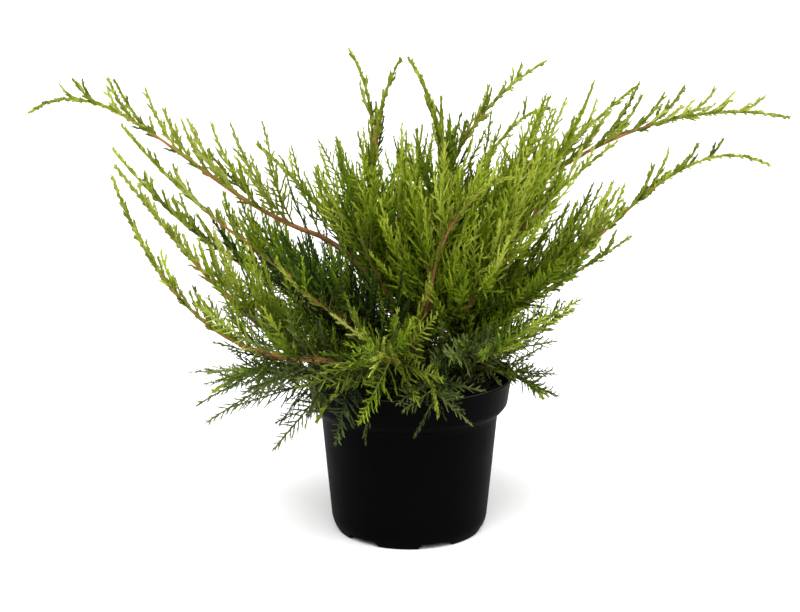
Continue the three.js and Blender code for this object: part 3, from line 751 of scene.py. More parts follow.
def finer_plumes_of(name, leader, route, rng):
    """More plumes between those of the source's rule, closest together in the crown's middle."""
    lowest, highest, tip_lift = leader.get("lift", FINER_LIFT)
    found = []
    far = FINER_START
    side = 1
    while far < route.length * FINER_END:
        share = far / route.length
        root = route.at(share)
        core = core_share(root)
        leafy = mixed(leader.get("leafy", (1, 1)), share)
        far += mixed(FINER_STEP, core) * rng.uniform(*FINER_STEP_SPREAD) / leafy
        side = -side
        tangent = route.tangent(share)
        level = np.cross(tangent, UP)
        if np.linalg.norm(level) < STEEPEST:
            level = polar(rng.uniform(0, 360), 1, 0)
        lift = rng.uniform(lowest, highest) * (1 - FINER_LIFT_FALL * share)
        lift += leader.get("rise", 0) * share
        sway = side * rng.uniform(FINER_LEAST_SWAY, mixed(FINER_MOST_SWAY, core))
        sway += leader.get("swing", 0)
        way = unit(tangent * mixed(FINER_AHEAD, share) + UP * lift + unit(level) * sway)
        size = mixed((ARM_SIZE * (ARM_SIZE_FALL - share), 1.0), core) * leafy ** LEAFY_SIZE_POWER
        size *= leader["reach"] * leader.get("comb", 1) * rng.uniform(*FINER_SIZE_SPREAD)
        found.append(plume(name, root, way, unit(way + UP * tip_lift), size,
                           rng.uniform(-BLADE_TURN, BLADE_TURN),
                           mixed(leader.get("light", (0, 0)), share), rng))
    for share, length, lean in leader.get("tall", ()):
        way = unit(np.array([lean, -TALL_FORWARD, 1.0]))
        found.append(plume(name, route.at(share), way, way, length, TALL_TURN, TALL_LIGHT, rng))
    return [one for one in found if one is not None]


# Rules for side shoots: the shares of their parent where they begin and end, their spacing, their
# angle to it in degrees, and how much lighter, more mottled and thinner they are. They grow lighter
# towards their parent's tip: partly the young growth's own lighter green, partly painted shade on the
# older inner foliage.
PLUME_SIDES = {
    "first": 0.12, "last": 0.98, "spacing": 4.8, "flat_spacing": 4.1, "angle": 35, "flat_angle": 56,
    "lift": 0.06, "flat_reach": 1.1,
    "length": lambda parent, share: parent * 0.22 * (1 - share) ** 0.9 + 4.0,
    "brighten": 2.7, "mottle": 0.5, "thinner": 0.92,
}
TWIGLETS = {
    "first": 0.2, "last": 0.9, "spacing": 6.0, "flat_spacing": 9.0, "angle": 40, "flat_angle": 50,
    "lift": 0.04, "flat_reach": 0.8,
    "length": lambda parent, share: 3.8 + 0.12 * parent * (1 - share),
    "brighten": 0.7, "mottle": 0.3, "thinner": 0.92,
}
SLEEVE_SIDES = {
    "first": 0.05, "last": 0.97, "spacing": 5.0, "flat_spacing": 5.0, "angle": 24, "flat_angle": 40,
    "lift": 0.1, "flat_reach": 1.0,
    "length": lambda parent, share: 5.5 + 2.5 * (1 - share),
    "brighten": 0.5, "mottle": 0.6, "thinner": 0.95,
}
# The shortest parents of twiglets, flat and round
FLAT_PARENT = 18
ROUND_PARENT = 11
SLEEVE = {"from": 0.6, "count": 7, "turn": 0.3, "tone": 4.8, "mottle": 0.4, "thick": (1.9, 1.6),
          "outer": 0.4}
CLUMPS = {"from": 0.15, "to": 0.64, "step": (3, 7), "gap_odds": 0.25, "gap": (10, 26),
          "core": 0.85, "core_odds": 0.4, "off": 1.3, "open": (0.15, 0.45), "length": (7, 13),
          "thick": 1.15, "tone": 4.2, "mottle": 0.8}
# How often a fresh leader's plumes take the arms' olive greens, and how often low plumes take the
# greyer greens of the painted shade
FRESH_OLIVE = 0.5
LOW_GREY = 0.95


def sleeve_of(route, rng):
    """The leader's own green tip, from where its bark ends, as shoots in a row."""
    count = SLEEVE["count"]
    points = route.at(np.linspace(SLEEVE["from"], 1, count + 1))
    runs = np.diff(points, axis=0)
    return Shoots(
        root=points[:-1], way=unit(runs), bend=np.zeros((count, 3)),
        face=np.array([face_of(way, SLEEVE["turn"]) for way in unit(runs)]),
        length=np.linalg.norm(runs, axis=1), thick=np.linspace(*SLEEVE["thick"], count),
        tone=SLEEVE["tone"] + rng.normal(0, SLEEVE["mottle"], count),
        needled=np.zeros(count), flat=np.zeros(count),
        outer=np.full(count, SLEEVE["outer"]), hue=np.ones(count),
    )


def clumps_of(leader, route, rng):
    """Short leafy cords pressed to the bark of a leader outside the crown's middle, with gaps."""
    found = []
    far = CLUMPS["from"] * route.length
    while far < CLUMPS["to"] * route.length:
        share = far / route.length
        step = rng.uniform(*CLUMPS["step"])
        gap = (rng.random() < CLUMPS["gap_odds"]) * rng.uniform(*CLUMPS["gap"])
        far += (step + gap) / leader.get("clad", 1)
        root, tangent = route.at(share), route.tangent(share)
        if core_share(root) > CLUMPS["core"] and rng.random() < CLUMPS["core_odds"]:
            continue
        face = face_of(tangent, rng.uniform(0, 2 * math.pi))
        found.append({
            "root": root + face * CLUMPS["off"],
            "way": unit(tangent + face * rng.uniform(*CLUMPS["open"])),
            "bend": np.zeros(3), "face": face, "length": rng.uniform(*CLUMPS["length"]),
            "thick": CLUMPS["thick"], "tone": CLUMPS["tone"] + rng.normal(0, CLUMPS["mottle"]),
            "needled": 0.0, "flat": 0.0, "outer": 1.0, "hue": 1.0})
    return found


def hues_of(plumes, fresh, rng):
    """Which greens each plume has: 0 the crown's, 1 the arms' olive, 2 the greyer ones near the pot,
    which paint the shade there.
    """
    middle = plumes.at(np.full(len(plumes), 0.5))
    low = 1 - between(*GREY_HEIGHTS, middle[:, 2])
    drawn = rng.random(len(plumes))
    olive = rng.random(len(plumes)) < np.maximum(plumes.outer, fresh * FRESH_OLIVE)
    return np.where((drawn < LOW_GREY * low) & ~fresh, 2, np.where(olive, 1, 0))


GROWTH_SEED = 20
HUE_SEED = 7


def grow():
    """All the plant's shoots: plumes, green leader tips, the shoots at their sides and the twiglets."""
    rng = np.random.default_rng(GROWTH_SEED)
    plumes, sleeves, clumps, fresh = [], [], [], []
    for index, (name, leader) in enumerate(LEADERS.items()):
        route = ROUTES[name][1]
        seed = FIRST_SEED + SEED_STEP * index
        plumes += plumes_of(name, leader, route, seed, rng)
        plumes += finer_plumes_of(name, leader, WHOLE[name], rng)
        fresh += [leader.get("fresh", False)] * (len(plumes) - len(fresh))
        sleeves.append(sleeve_of(route, rng))
        clumps += clumps_of(leader, route, rng)
    plumes = Shoots.of(plumes)
    plumes.hue = hues_of(plumes, np.array(fresh), np.random.default_rng(HUE_SEED))
    sleeves = Shoots.join([*sleeves, Shoots.of(clumps)])
    sides = Shoots.join([
        side_shoots(plumes, PLUME_SIDES, rng), side_shoots(sleeves, SLEEVE_SIDES, rng)])
    forked = sides.take(sides.length > np.where(sides.flat > 0.5, FLAT_PARENT, ROUND_PARENT))
    return plumes, [plumes, sleeves, sides, side_shoots(forked, TWIGLETS, rng)]


# Meshes

def add_object(name, mesh):
    piece = bpy.data.objects.new(name, mesh)
    bpy.context.scene.collection.objects.link(piece)
    return piece


def mesh_of(name, points, faces):
    mesh = bpy.data.meshes.new(name)
    mesh.from_pydata([tuple(point) for point in points], [], faces)
    mesh.update()
    return mesh


def evaluated_mesh(piece):
    """A plain mesh of the object with its modifiers applied."""
    depsgraph = bpy.context.evaluated_depsgraph_get()
    return bpy.data.meshes.new_from_object(piece.evaluated_get(depsgraph))


def run_tree(name, base, tree, inputs):
    """Runs a node group on a base object and gives the result as a plain piece."""
    modifier = base.modifiers.new(tree.name, "NODES")
    modifier.node_group = tree
    sockets = {item.name: item.identifier for item in tree.interface.items_tree
               if item.in_out == "INPUT"}
    for label, value in inputs.items():
        modifier[sockets[label]] = value
    mesh = evaluated_mesh(base)
    bpy.data.objects.remove(base)
    mesh.name = name
    return add_object(name, mesh)


def finish_group(tree, geometry, material):
    """Ends a geometry tree: its instances made real, in one material."""
    real = tree.add("GeometryNodeRealizeInstances", {}, {"Geometry": geometry})[0]
    finished = tree.add("GeometryNodeSetMaterial", {}, {"Geometry": real, "Material": material})[0]
    tree.add("NodeGroupOutput", {}, {"Geometry": finished})


def new_group(name, inputs):
    """An empty geometry node group with these named inputs, and its tree and input sockets."""
    group = bpy.data.node_groups.new(name, "GeometryNodeTree")
    group.interface.new_socket("Geometry", in_out="INPUT", socket_type="NodeSocketGeometry")
    group.interface.new_socket("Geometry", in_out="OUTPUT", socket_type="NodeSocketGeometry")
    for label, kind in inputs:
        group.interface.new_socket(label, in_out="INPUT", socket_type=kind)
    tree = Tree(group)
    return group, tree, tree.add("NodeGroupInput")


# Sprigs: short lengths of leafy twig that every green shoot is made of

def sprig_form(name, length, radius, end_radius, leaves):
    """A slim stalk of three sides, pointed where its end radius is 0, with leaves pressed round it in a
    spiral. Each leaf is a closed keeled blade."""
    sides = np.radians([90, 210, 330])
    points = [(radius * math.cos(a), radius * math.sin(a), 0) for a in sides]
    if end_radius:
        points += [(end_radius * math.cos(a), end_radius * math.sin(a), length) for a in sides]
        faces = [(2, 1, 0), (3, 4, 5)] + [(k, (k + 1) % 3, (k + 1) % 3 + 3, k + 3) for k in range(3)]
    else:
        points.append((0, 0, length))
        faces = [(2, 1, 0)] + [(k, (k + 1) % 3, 3) for k in range(3)]
    for k in range(leaves["count"]):
        angle = k * SPIRAL
        out = np.array([math.cos(angle), math.sin(angle), 0])
        across = np.array([-math.sin(angle), math.cos(angle), 0])
        z = leaves["first"] + k * leaves["step"]
        base = out * leaves["root"] + UP * z
        first = len(points)
        points += [base - across * leaves["half_width"], base + across * leaves["half_width"],
                   out * leaves["keel"][0] + UP * (z + leaves["keel"][1]),
                   out * leaves["tip"][0] + UP * (z + leaves["tip"][1])]
        a, b, c, d = range(first, first + 4)
        faces += [(a, c, b), (a, d, c), (c, d, b), (b, d, a)]
    return add_object(name, mesh_of(name, np.array([tuple(point) for point in points]) * MM, faces))


# Each form's name, length, radius, end radius and leaves, in millimetres: first the scaly ones, then
# the needled, each as a length of twig, as a tip and as a short tip
SPRIGS = [
    ("scale_sprig", 9.5, 1.2, 1.1, dict(count=3, first=0.3, step=3.1, root=0.3, half_width=1.3,
                                        keel=(1.75, 1.3), tip=(1.8, 4.2))),
    ("scale_tip", 7.5, 1.2, 0.6, dict(count=2, first=0.6, step=2.6, root=0.25, half_width=1.2,
                                      keel=(1.6, 1.2), tip=(1.3, 3.9))),
    ("scale_stub", 5.5, 1.1, 0, dict(count=1, first=0.8, step=0, root=0.2, half_width=1.15,
                                     keel=(1.6, 1.1), tip=(1.2, 4.4))),
    ("needle_sprig", 9.5, 0.8, 0.7, dict(count=4, first=0.2, step=2.4, root=0.2, half_width=0.85,
                                         keel=(1.7, 1.4), tip=(2.9, 4.0))),
    ("needle_tip", 7.5, 0.8, 0.4, dict(count=3, first=0.1, step=2.1, root=0.2, half_width=0.8,
                                       keel=(1.5, 1.3), tip=(2.2, 4.2))),
    ("needle_stub", 5.5, 0.8, 0, dict(count=2, first=0.2, step=1.8, root=0.2, half_width=0.8,
                                      keel=(1.5, 1.2), tip=(1.8, 4.0))),
]


def strewing_group():
    """Sets the sprig forms on points that say each one's heading, face, size and form."""
    group, tree, given = new_group("strewn sprigs", [
        ("Thickness", "NodeSocketFloat"), ("Green", "NodeSocketMaterial"),
        *((form[0], "NodeSocketObject") for form in SPRIGS)])

    def named(name, data_type):
        return tree.add("GeometryNodeInputNamedAttribute", {"data_type": data_type}, {"Name": name})[0]

    turned = tree.add("FunctionNodeAxesToRotation", {"primary_axis": "Z", "secondary_axis": "X"}, {
        "Primary Axis": named("heading", "FLOAT_VECTOR"),
        "Secondary Axis": named("face", "FLOAT_VECTOR")})[0]
    width = tree.add("ShaderNodeCombineXYZ", {}, {
        "X": given["Thickness"], "Y": given["Thickness"], "Z": 1})[0]
    size = tree.add("ShaderNodeVectorMath", {"operation": "MULTIPLY"},
                    {0: named("size", "FLOAT_VECTOR"), 1: width})[0]
    sets = []
    for number, form in enumerate(SPRIGS):
        chosen = tree.add("FunctionNodeCompare", {"data_type": "INT", "operation": "EQUAL"},
                          {2: named("form", "INT"), 3: number})[0]
        shape = tree.add("GeometryNodeObjectInfo", {}, {"Object": given[form[0]], "As Instance": True})
        sets.append(tree.add("GeometryNodeInstanceOnPoints", {}, {
            "Points": given["Geometry"], "Selection": chosen, "Instance": shape["Geometry"],
            "Rotation": turned, "Scale": size})[0])
    joined = tree.add("GeometryNodeJoinGeometry", {}, {"Geometry": sets})[0]
    finish_group(tree, joined, given["Green"])
    return group


def sprig_points(name, rows):
    """A mesh of points only, each with what its sprig needs."""
    mesh = bpy.data.meshes.new(name)
    mesh.vertices.add(len(rows["place"]))
    mesh.vertices.foreach_set("co", (rows["place"] * MM).astype(np.float32).ravel())
    for label, key in (("heading", "run"), ("face", "face"), ("size", "size")):
        mesh.attributes.new(label, "FLOAT_VECTOR", "POINT").data.foreach_set(
            "vector", rows[key].astype(np.float32).ravel())
    mesh.attributes.new("form", "INT", "POINT").data.foreach_set("value", rows["form"].astype(np.int32))
    return add_object(name, mesh)


NEEDLED_FORMS = 3
SPRIG_LENGTH = 10.5
STUB_LENGTH = 6.5
SPRIG_OVERLAP = 1.08
# The share of each palette, from the darkest, that counts as shaded foliage; the label that it picks is
# not used
SHADED_SHARE = 0.4


def make_foliage(palettes):
    """The foliage, one piece for each green, and the plumes that it grows on."""
    plumes, shoots = grow()
    rows = [along_shoots(group, SPRIG_LENGTH) for group in shoots]
    sprigs = {key: np.concatenate([row[key] for row in rows]) for key in rows[0]}
    run = np.linalg.norm(sprigs["run"], axis=1)
    short = run < STUB_LENGTH
    sprigs["form"] = NEEDLED_FORMS * (sprigs["needled"] > 0.5) + np.where(sprigs["last"], 1 + short, 0)
    natural = np.array([form[1] for form in SPRIGS])[sprigs["form"].astype(int)]
    sprigs["size"] = np.stack([sprigs["thick"], sprigs["thick"], run * SPRIG_OVERLAP / natural], axis=1)
    forms = {form[0]: sprig_form(*form) for form in SPRIGS}
    group = strewing_group()
    pieces = []
    for hue, (kind, greens) in enumerate(palettes.items()):
        tone = np.clip(np.round(sprigs["tone"] * (len(greens) - 1) / LIGHTEST), 0, len(greens) - 1)
        for number, green in enumerate(greens):
            chosen = (sprigs["hue"] == hue) & (tone == number)
            name = f"foliage_{kind}_{number + 1}"
            points = sprig_points(name + "_points", {key: sprigs[key][chosen] for key in sprigs})
            piece = run_tree(name, points, group, {"Thickness": 1.0, "Green": green, **forms})
            for label in ("heading", "face", "size", "form"):
                if label in piece.data.attributes:
                    piece.data.attributes.remove(piece.data.attributes[label])
            "shaded_foliage" if number < len(greens) * SHADED_SHARE else "foliage"
            pieces.append(piece)
    for form in forms.values():
        bpy.data.objects.remove(form)
    return pieces, plumes


# Limbs

# How far the bark's strips are drawn out along a limb, and how much they differ from limb to limb
STRIP_STRETCH = 0.13
STRIP_DRIFT = (0.1, 0.1, 0.02)


def limb_group():
    """A tube along each curve, as thick as the curve's radius, with strips of bark raised on it."""
    group, tree, given = new_group("bark limbs", [
        ("Sides", "NodeSocketInt"), ("Step", "NodeSocketFloat"), ("Relief", "NodeSocketFloat"),
        ("Strips", "NodeSocketFloat"), ("Bark", "NodeSocketMaterial")])
    line = tree.add("GeometryNodeResampleCurve", {"mode": "LENGTH"},
                    {"Curve": given["Geometry"], "Length": given["Step"]})[0]
    radius = tree.add("GeometryNodeInputRadius")[0]
    length = tree.add("GeometryNodeSplineParameter")["Length"]
    on_line = tree.add("GeometryNodeCaptureAttribute",
                       {"captures": [("thick", "FLOAT"), ("far", "FLOAT")]},
                       {"Geometry": line, "thick": radius, "far": length})
    ring = tree.add("GeometryNodeCurvePrimitiveCircle", {},
                    {"Resolution": given["Sides"], "Radius": 1.0})[0]
    round_share = tree.add("GeometryNodeSplineParameter")["Factor"]
    on_ring = tree.add("GeometryNodeCaptureAttribute", {"captures": [("round", "FLOAT")]},
                       {"Geometry": ring, "round": round_share})
    tube = tree.add("GeometryNodeCurveToMesh", {}, {
        "Curve": on_line["Geometry"], "Profile Curve": on_ring["Geometry"],
        "Scale": on_line["thick"], "Fill Caps": True})[0]
    thick = on_line["thick"]
    angle = on_ring["round"] * (2 * math.pi)
    grain = tree.add("ShaderNodeCombineXYZ", {}, {
        "X": angle.cosine() * thick, "Y": angle.sine() * thick,
        "Z": on_line["far"] * STRIP_STRETCH})[0]
    place = tree.add("GeometryNodeInputPosition")[0]
    own = tree.add("ShaderNodeVectorMath", {"operation": "MULTIPLY_ADD"},
                   {0: place, 1: STRIP_DRIFT, 2: grain})[0]

    def stored(geometry, data_type, label, value):
        return tree.add("GeometryNodeStoreNamedAttribute", {"data_type": data_type, "domain": "POINT"},
                        {"Geometry": geometry, "Name": label, "Value": value})[0]

    grained = stored(tube, "FLOAT_VECTOR", "grain", own)
    aged = stored(grained, "FLOAT", "thickness", thick * (1 / MM))
    strips = noise(tree, own, given["Strips"], detail=3.0, roughness=0.6)
    normal = tree.add("GeometryNodeInputNormal")[0]
    height = (strips - 0.5) * given["Relief"] * thick
    offset = tree.add("ShaderNodeVectorMath", {"operation": "SCALE"}, {0: normal, "Scale": height})[0]
    raised = tree.add("GeometryNodeSetPosition", {}, {"Geometry": aged, "Offset": offset})[0]
    smooth = tree.add("GeometryNodeSetShadeSmooth", {}, {"Geometry": raised, "Shade Smooth": True})[0]
    finish_group(tree, smooth, given["Bark"])
    return group


def lines_object(name, lines):
    """A curve object with one open line for each (points, radii), in millimetres."""
    curve = bpy.data.curves.new(name, "CURVE")
    curve.dimensions = "3D"
    for points, radii in lines:
        spline = curve.splines.new("POLY")
        spline.points.add(len(points) - 1)
        spline.points.foreach_set("co", np.hstack([points * MM, np.ones((len(points), 1))]).ravel())
        spline.points.foreach_set("radius", np.asarray(radii) * MM)
    return add_object(name, curve)


STEM_RINGS = 40
BOUGH_RINGS = 24
LEADER_RINGS = 40
STALK_RINGS = 6
SUNK = 4
FOOT_SWELL = 1.15
# Radii of a leader's foot on a bough or on the stem, and where it is bare, and how fast it thins
BOUGH_LEADER_FOOT = 2.9
STEM_LEADER_FOOT = 2.4
LEADER_END = 0.65
LEADER_BARE = 0.9
LEADER_THINS = 1.2
# A plume's stalk: how much of the plume it is, its end's radius, and its foot's for each length
STALK_SHARE = 0.55
STALK_END = 0.45
STALK_FOOT = 0.55
STALK_FOOT_GROWS = 0.005


def bough_lines():
    """The stem and the boughs. Each bough's foot runs a little into the stem."""
    heights = np.linspace(0, STEM_HEIGHT, STEM_RINGS)
    wall = np.interp(heights, [z for _, z in STEM_WALL], [r for r, _ in STEM_WALL])
    lines = [(np.array([stem_point(height) for height in heights]), wall)]
    for name, (bough, _) in ROUTES.items():
        if bough is None:
            continue
        on_top = LEADERS[name]["foot"][1] == "top"
        foot_radius = UPRIGHT_RADIUS if on_top else BOUGH_RADIUS
        shares = np.linspace(0, 1, BOUGH_RINGS)
        points = bough.at(shares)
        sunk = points[0] - bough.tangent(0.0) * SUNK
        radii = foot_radius + (BOUGH_TIP_RADIUS - foot_radius) * shares
        lines.append((np.vstack([sunk, points]), np.concatenate([[foot_radius * FOOT_SWELL], radii])))
    return lines


def leader_lines():
    """The bare leaders in the masses, from the bough's tip or the stem to where the green starts."""
    lines = []
    for bough, mass in ROUTES.values():
        shares = np.linspace(0, LEADER_BARE, LEADER_RINGS)
        foot = BOUGH_LEADER_FOOT if bough is not None else STEM_LEADER_FOOT
        points = mass.at(shares)
        if bough is None:
            points = np.vstack([points[0] - mass.tangent(0.0) * SUNK, points])
            shares = np.concatenate([[0], shares])
        lines.append((points, foot + (LEADER_END - foot) * (shares / LEADER_BARE) ** LEADER_THINS))
    return lines


def stalk_lines(plumes):
    """The woody foot of each plume."""
    lines = []
    for k in range(len(plumes)):
        one = plumes.take([k])
        shares = np.linspace(0, STALK_SHARE, STALK_RINGS)
        points = np.vstack([one.at(np.array([share])) for share in shares])
        foot = STALK_FOOT + one.length[0] * STALK_FOOT_GROWS
        lines.append((points, foot + (STALK_END - foot) * shares / STALK_SHARE))
    return lines


# Pot

def pot_profile():
    """The wall's section as (radius, height), from the base plate's middle, round the outside, to the
    inside. The small offsets round its edges off."""
    inside_foot = FOOT_RADIUS - FOOT_RING
    base_and_foot = [
        (0, BASE_LIFT), (inside_foot - BASE_SLANT, BASE_LIFT), (inside_foot - 0.3, 0.5),
        (inside_foot + 0.3, 0), (FOOT_RADIUS - 0.4, 0), (FOOT_RADIUS + 0.1, 0.4),
        (FOOT_RADIUS + 1.6, 3), (FOOT_RADIUS + 3, 6), (FOOT_RADIUS + 4.6, 10), (FOOT_RADIUS + 5.8, 15),
    ]
    body = [
        (BODY_FOOT_RADIUS - 0.3, BODY_FOOT - 2), (BODY_FOOT_RADIUS + 0.3, BODY_FOOT + 4),
        (BODY_TOP_RADIUS - 0.6, BODY_TOP - 6), (BODY_TOP_RADIUS, BODY_TOP - 0.5),
        (BODY_TOP_RADIUS + 0.7, BODY_TOP + 0.4),
    ]
    shoulder_and_collar = [
        (BODY_TOP_RADIUS + 3, BODY_TOP + 1.7), (BODY_TOP_RADIUS + 5.5, BODY_TOP + 3.4),
        (COLLAR_RADIUS - 2, COLLAR_FOOT - 3), (COLLAR_RADIUS - 0.4, COLLAR_FOOT - 0.6),
        (COLLAR_RADIUS + 0.3, COLLAR_FOOT + 2), (RIM_RADIUS - 2.2, POT_HEIGHT - 6),
    ]
    lip = [
        (RIM_RADIUS - 1.9, POT_HEIGHT - 4.6), (RIM_RADIUS - 0.6, POT_HEIGHT - 3.9),
        (RIM_RADIUS, POT_HEIGHT - 3.1), (RIM_RADIUS, POT_HEIGHT - 0.9),
        (RIM_RADIUS - 0.5, POT_HEIGHT - 0.2), (RIM_RADIUS - 1.1, POT_HEIGHT),
        (RIM_RADIUS - 1.9, POT_HEIGHT - 0.3), (RIM_RADIUS - 2.6, POT_HEIGHT - 1.6),
        (RIM_RADIUS - WALL - 0.5, POT_HEIGHT - 5),
    ]
    inside = [
        (COLLAR_RADIUS - WALL, COLLAR_FOOT), (BODY_TOP_RADIUS - WALL, BODY_TOP + WALL),
        (BODY_FOOT_RADIUS - WALL, BODY_FOOT), (FOOT_RADIUS - BASE_SLANT, BASE_LIFT + WALL),
        (0, BASE_LIFT + WALL),
    ]
    return base_and_foot + body + shoulder_and_collar + lip + inside


def turned_mesh(name, profile, sides):
    """A closed turned body from a profile that starts and ends on the axis."""
    rings = [point for point in profile if point[0] > 0]
    points = [(r * math.cos(a), r * math.sin(a), z) for r, z in rings
              for a in np.linspace(0, 2 * math.pi, sides, endpoint=False)]
    faces = []
    for i in range(len(rings) - 1):
        low, high = i * sides, (i + 1) * sides
        for k in range(sides):
            after = (k + 1) % sides
            faces.append((low + k, low + after, high + after, high + k))
    points += [(0, 0, profile[0][1]), (0, 0, profile[-1][1])]
    bottom, top, last = len(points) - 2, len(points) - 1, (len(rings) - 1) * sides
    faces += [(bottom, (k + 1) % sides, k) for k in range(sides)]
    faces += [(top, last + k, last + (k + 1) % sides) for k in range(sides)]
    return mesh_of(name, np.array(points) * MM, faces)


def notch_cutters():
    """A wedge through the foot ring for each drain notch, wider at the ground than at its top."""
    cutters = bmesh.new()
    half, top_half = NOTCH_WIDTH / 2, NOTCH_TOP_WIDTH / 2
    inner, outer = FOOT_RADIUS - 2 * FOOT_RING, BODY_FOOT_RADIUS + NOTCH_PAST
    corners = [(-half, -1), (half, -1), (top_half, NOTCH_HEIGHT), (-top_half, NOTCH_HEIGHT)]
    for i in range(NOTCHES):
        angle = math.radians(FIRST_NOTCH + 360 * i / NOTCHES)
        out = np.array([math.cos(angle), math.sin(angle), 0])
        across = np.array([-math.sin(angle), math.cos(angle), 0])
        near, far = (
            [cutters.verts.new(tuple((out * reach + across * x + UP * z) * MM)) for x, z in corners]
            for reach in (inner, outer))
        cutters.faces.new(near)
        cutters.faces.new(far[::-1])
        for k in range(4):
            after = (k + 1) % 4
            cutters.faces.new((near[k], far[k], far[after], near[after]))
    bmesh.ops.recalc_face_normals(cutters, faces=cutters.faces)
    mesh = bpy.data.meshes.new("notches")
    cutters.to_mesh(mesh)
    cutters.free()
    return add_object("notches", mesh)


def cut_out(piece, cutter):
    """Takes one object's shape out of a piece, for good."""
    cut = piece.modifiers.new("cut", "BOOLEAN")
    cut.object = cutter
    cut.operation = "DIFFERENCE"
    cut.solver = "EXACT"
    finished = evaluated_mesh(piece)
    piece.modifiers.clear()
    piece.data = finished
    bpy.data.objects.remove(cutter)


def make_pot(plastic):
    """The nursery pot, with its drain notches cut through the foot ring."""
    pot = add_object("nursery_pot", turned_mesh("nursery_pot", pot_profile(), POT_SIDES))
    cut_out(pot, notch_cutters())
    pot.data.materials.clear()
    pot.data.materials.append(plastic)
    pot.data.shade_smooth()
    pot.data.set_sharp_from_angle(angle=math.radians(SHARP_EDGE))
    return pot


# Potting mix

LUMP_MIDDLE = 0.55
CHUNK_SIZE = 2.6
CHUNK_LEAST = (0.5, 0.4, 0.3)
CHUNK_MOST = (1.8, 1.2, 0.9)
FULL_TURN = (6.3, 6.3, 6.3)
TURN_SEED = 3
SIZE_SEED = 5
STREW_SEED = 11
# The mix's top: how many rings of faces it has, the first and last one's radius, and how far it lies
# below the soil's height before it is roughened
TOP_RINGS = 56
TOP_REACHES = (106.9, 1.5)
TOP_SINK = 0.4
SOIL_SIDES = 150


def soil_group(chunk):
    """Roughens the mix's top and strews chunks of bark over it."""
    group, tree, given = new_group("potting mix", [
        ("Roughness height", "NodeSocketFloat"), ("Chunks per square metre", "NodeSocketFloat"),
        ("Seed", "NodeSocketInt"), ("Mix", "NodeSocketMaterial")])
    place = tree.add("GeometryNodeInputPosition")[0]
    z = tree.add("ShaderNodeSeparateXYZ", {}, {"Vector": place})["Z"]
    on_top = tree.add("FunctionNodeCompare", {"data_type": "FLOAT", "operation": "GREATER_THAN"},
                      {0: z, 1: (SOIL_TOP - 1) * MM})[0]
    lumps = noise(tree, place, scale=90.0, detail=5.0, roughness=0.65)
    height = (lumps - LUMP_MIDDLE) * given["Roughness height"]
    rise = tree.add("ShaderNodeCombineXYZ", {}, {"Z": height})[0]
    rough = tree.add("GeometryNodeSetPosition", {}, {
        "Geometry": given["Geometry"], "Selection": on_top, "Offset": rise})[0]
    spots = tree.add("GeometryNodeDistributePointsOnFaces", {}, {
        "Mesh": rough, "Selection": on_top, "Density": given["Chunks per square metre"],
        "Seed": given["Seed"]})
    turned = tree.add("FunctionNodeRandomValue", {"data_type": "FLOAT_VECTOR"},
                      {"Max": FULL_TURN, "Seed": TURN_SEED})[0]
    sized = tree.add("FunctionNodeRandomValue", {"data_type": "FLOAT_VECTOR"},
                     {"Min": CHUNK_LEAST, "Max": CHUNK_MOST, "Seed": SIZE_SEED})[0]
    shape = tree.add("GeometryNodeObjectInfo", {}, {"Object": chunk, "As Instance": True})["Geometry"]
    strewn = tree.add("GeometryNodeInstanceOnPoints", {}, {
        "Points": spots["Points"], "Instance": shape, "Rotation": turned, "Scale": sized})[0]
    joined = tree.add("GeometryNodeJoinGeometry", {}, {"Geometry": [rough, strewn]})[0]
    finish_group(tree, joined, given["Mix"])
    return group


def make_soil(mix):
    """The potting mix, a hair clear of the pot's inside all round."""
    chunk_points = [
        (1, 0.2, 0), (0.3, 1.1, 0.2), (-0.9, 0.6, -0.1), (-0.7, -0.8, 0.1), (0.5, -0.9, 0),
        (0.1, 0.1, 0.8), (0, 0, -0.7)]
    chunk_faces = [(k, (k + 1) % 5, 5) for k in range(5)] + [((k + 1) % 5, k, 6) for k in range(5)]
    chunk = add_object("chunk", mesh_of("chunk", np.array(chunk_points) * CHUNK_SIZE * MM, chunk_faces))
    bottom, top, inset = BASE_LIFT + WALL + GAP, SOIL_TOP - TOP_SINK, WALL + GAP
    profile = [
        (0, bottom), (FOOT_RADIUS - BASE_SLANT - GAP, bottom),
        (BODY_FOOT_RADIUS - inset, BODY_FOOT + GAP), (BODY_TOP_RADIUS - inset, BODY_TOP + inset),
        (COLLAR_RADIUS - inset, COLLAR_FOOT + GAP),
        *((reach, top) for reach in np.linspace(*TOP_REACHES, TOP_RINGS)), (0, top),
    ]
    base = add_object("mix base", turned_mesh("mix base", profile, SOIL_SIDES))
    soil = run_tree("potting_mix", base, soil_group(chunk), {
        "Roughness height": 0.007, "Chunks per square metre": 34000.0, "Seed": STREW_SEED,
        "Mix": mix})
    bpy.data.objects.remove(chunk)
    return soil


# Materials

def new_material(name):
    material = bpy.data.materials.new(name)
    material.use_nodes = True
    material.node_tree.nodes.clear()
    return material, Tree(material.node_tree)


def finish_material(tree, sockets):
    shader = tree.add("ShaderNodeBsdfPrincipled", {}, sockets)["BSDF"]
    tree.add("ShaderNodeOutputMaterial", {}, {"Surface": shader})


def ramp(tree, share, stops):
    """A colour from rising shares of the way and their colours."""
    stops = [(place, colour[:3]) for place, colour in stops]
    return tree.add("ShaderNodeValToRGB", {"stops": stops}, {"Fac": share})["Color"]


def from_to(tree, value, start, end):
    """0 at start, 1 at end, and even between."""
    return tree.add("ShaderNodeMapRange", {}, {
        "Value": value, "From Min": start, "From Max": end})["Result"]


def bumped(tree, height, strength, distance):
    return tree.add("ShaderNodeBump", {}, {
        "Height": height, "Strength": strength, "Distance": distance})["Normal"]


def object_place(tree):
    return tree.add("ShaderNodeTexCoord")["Object"]


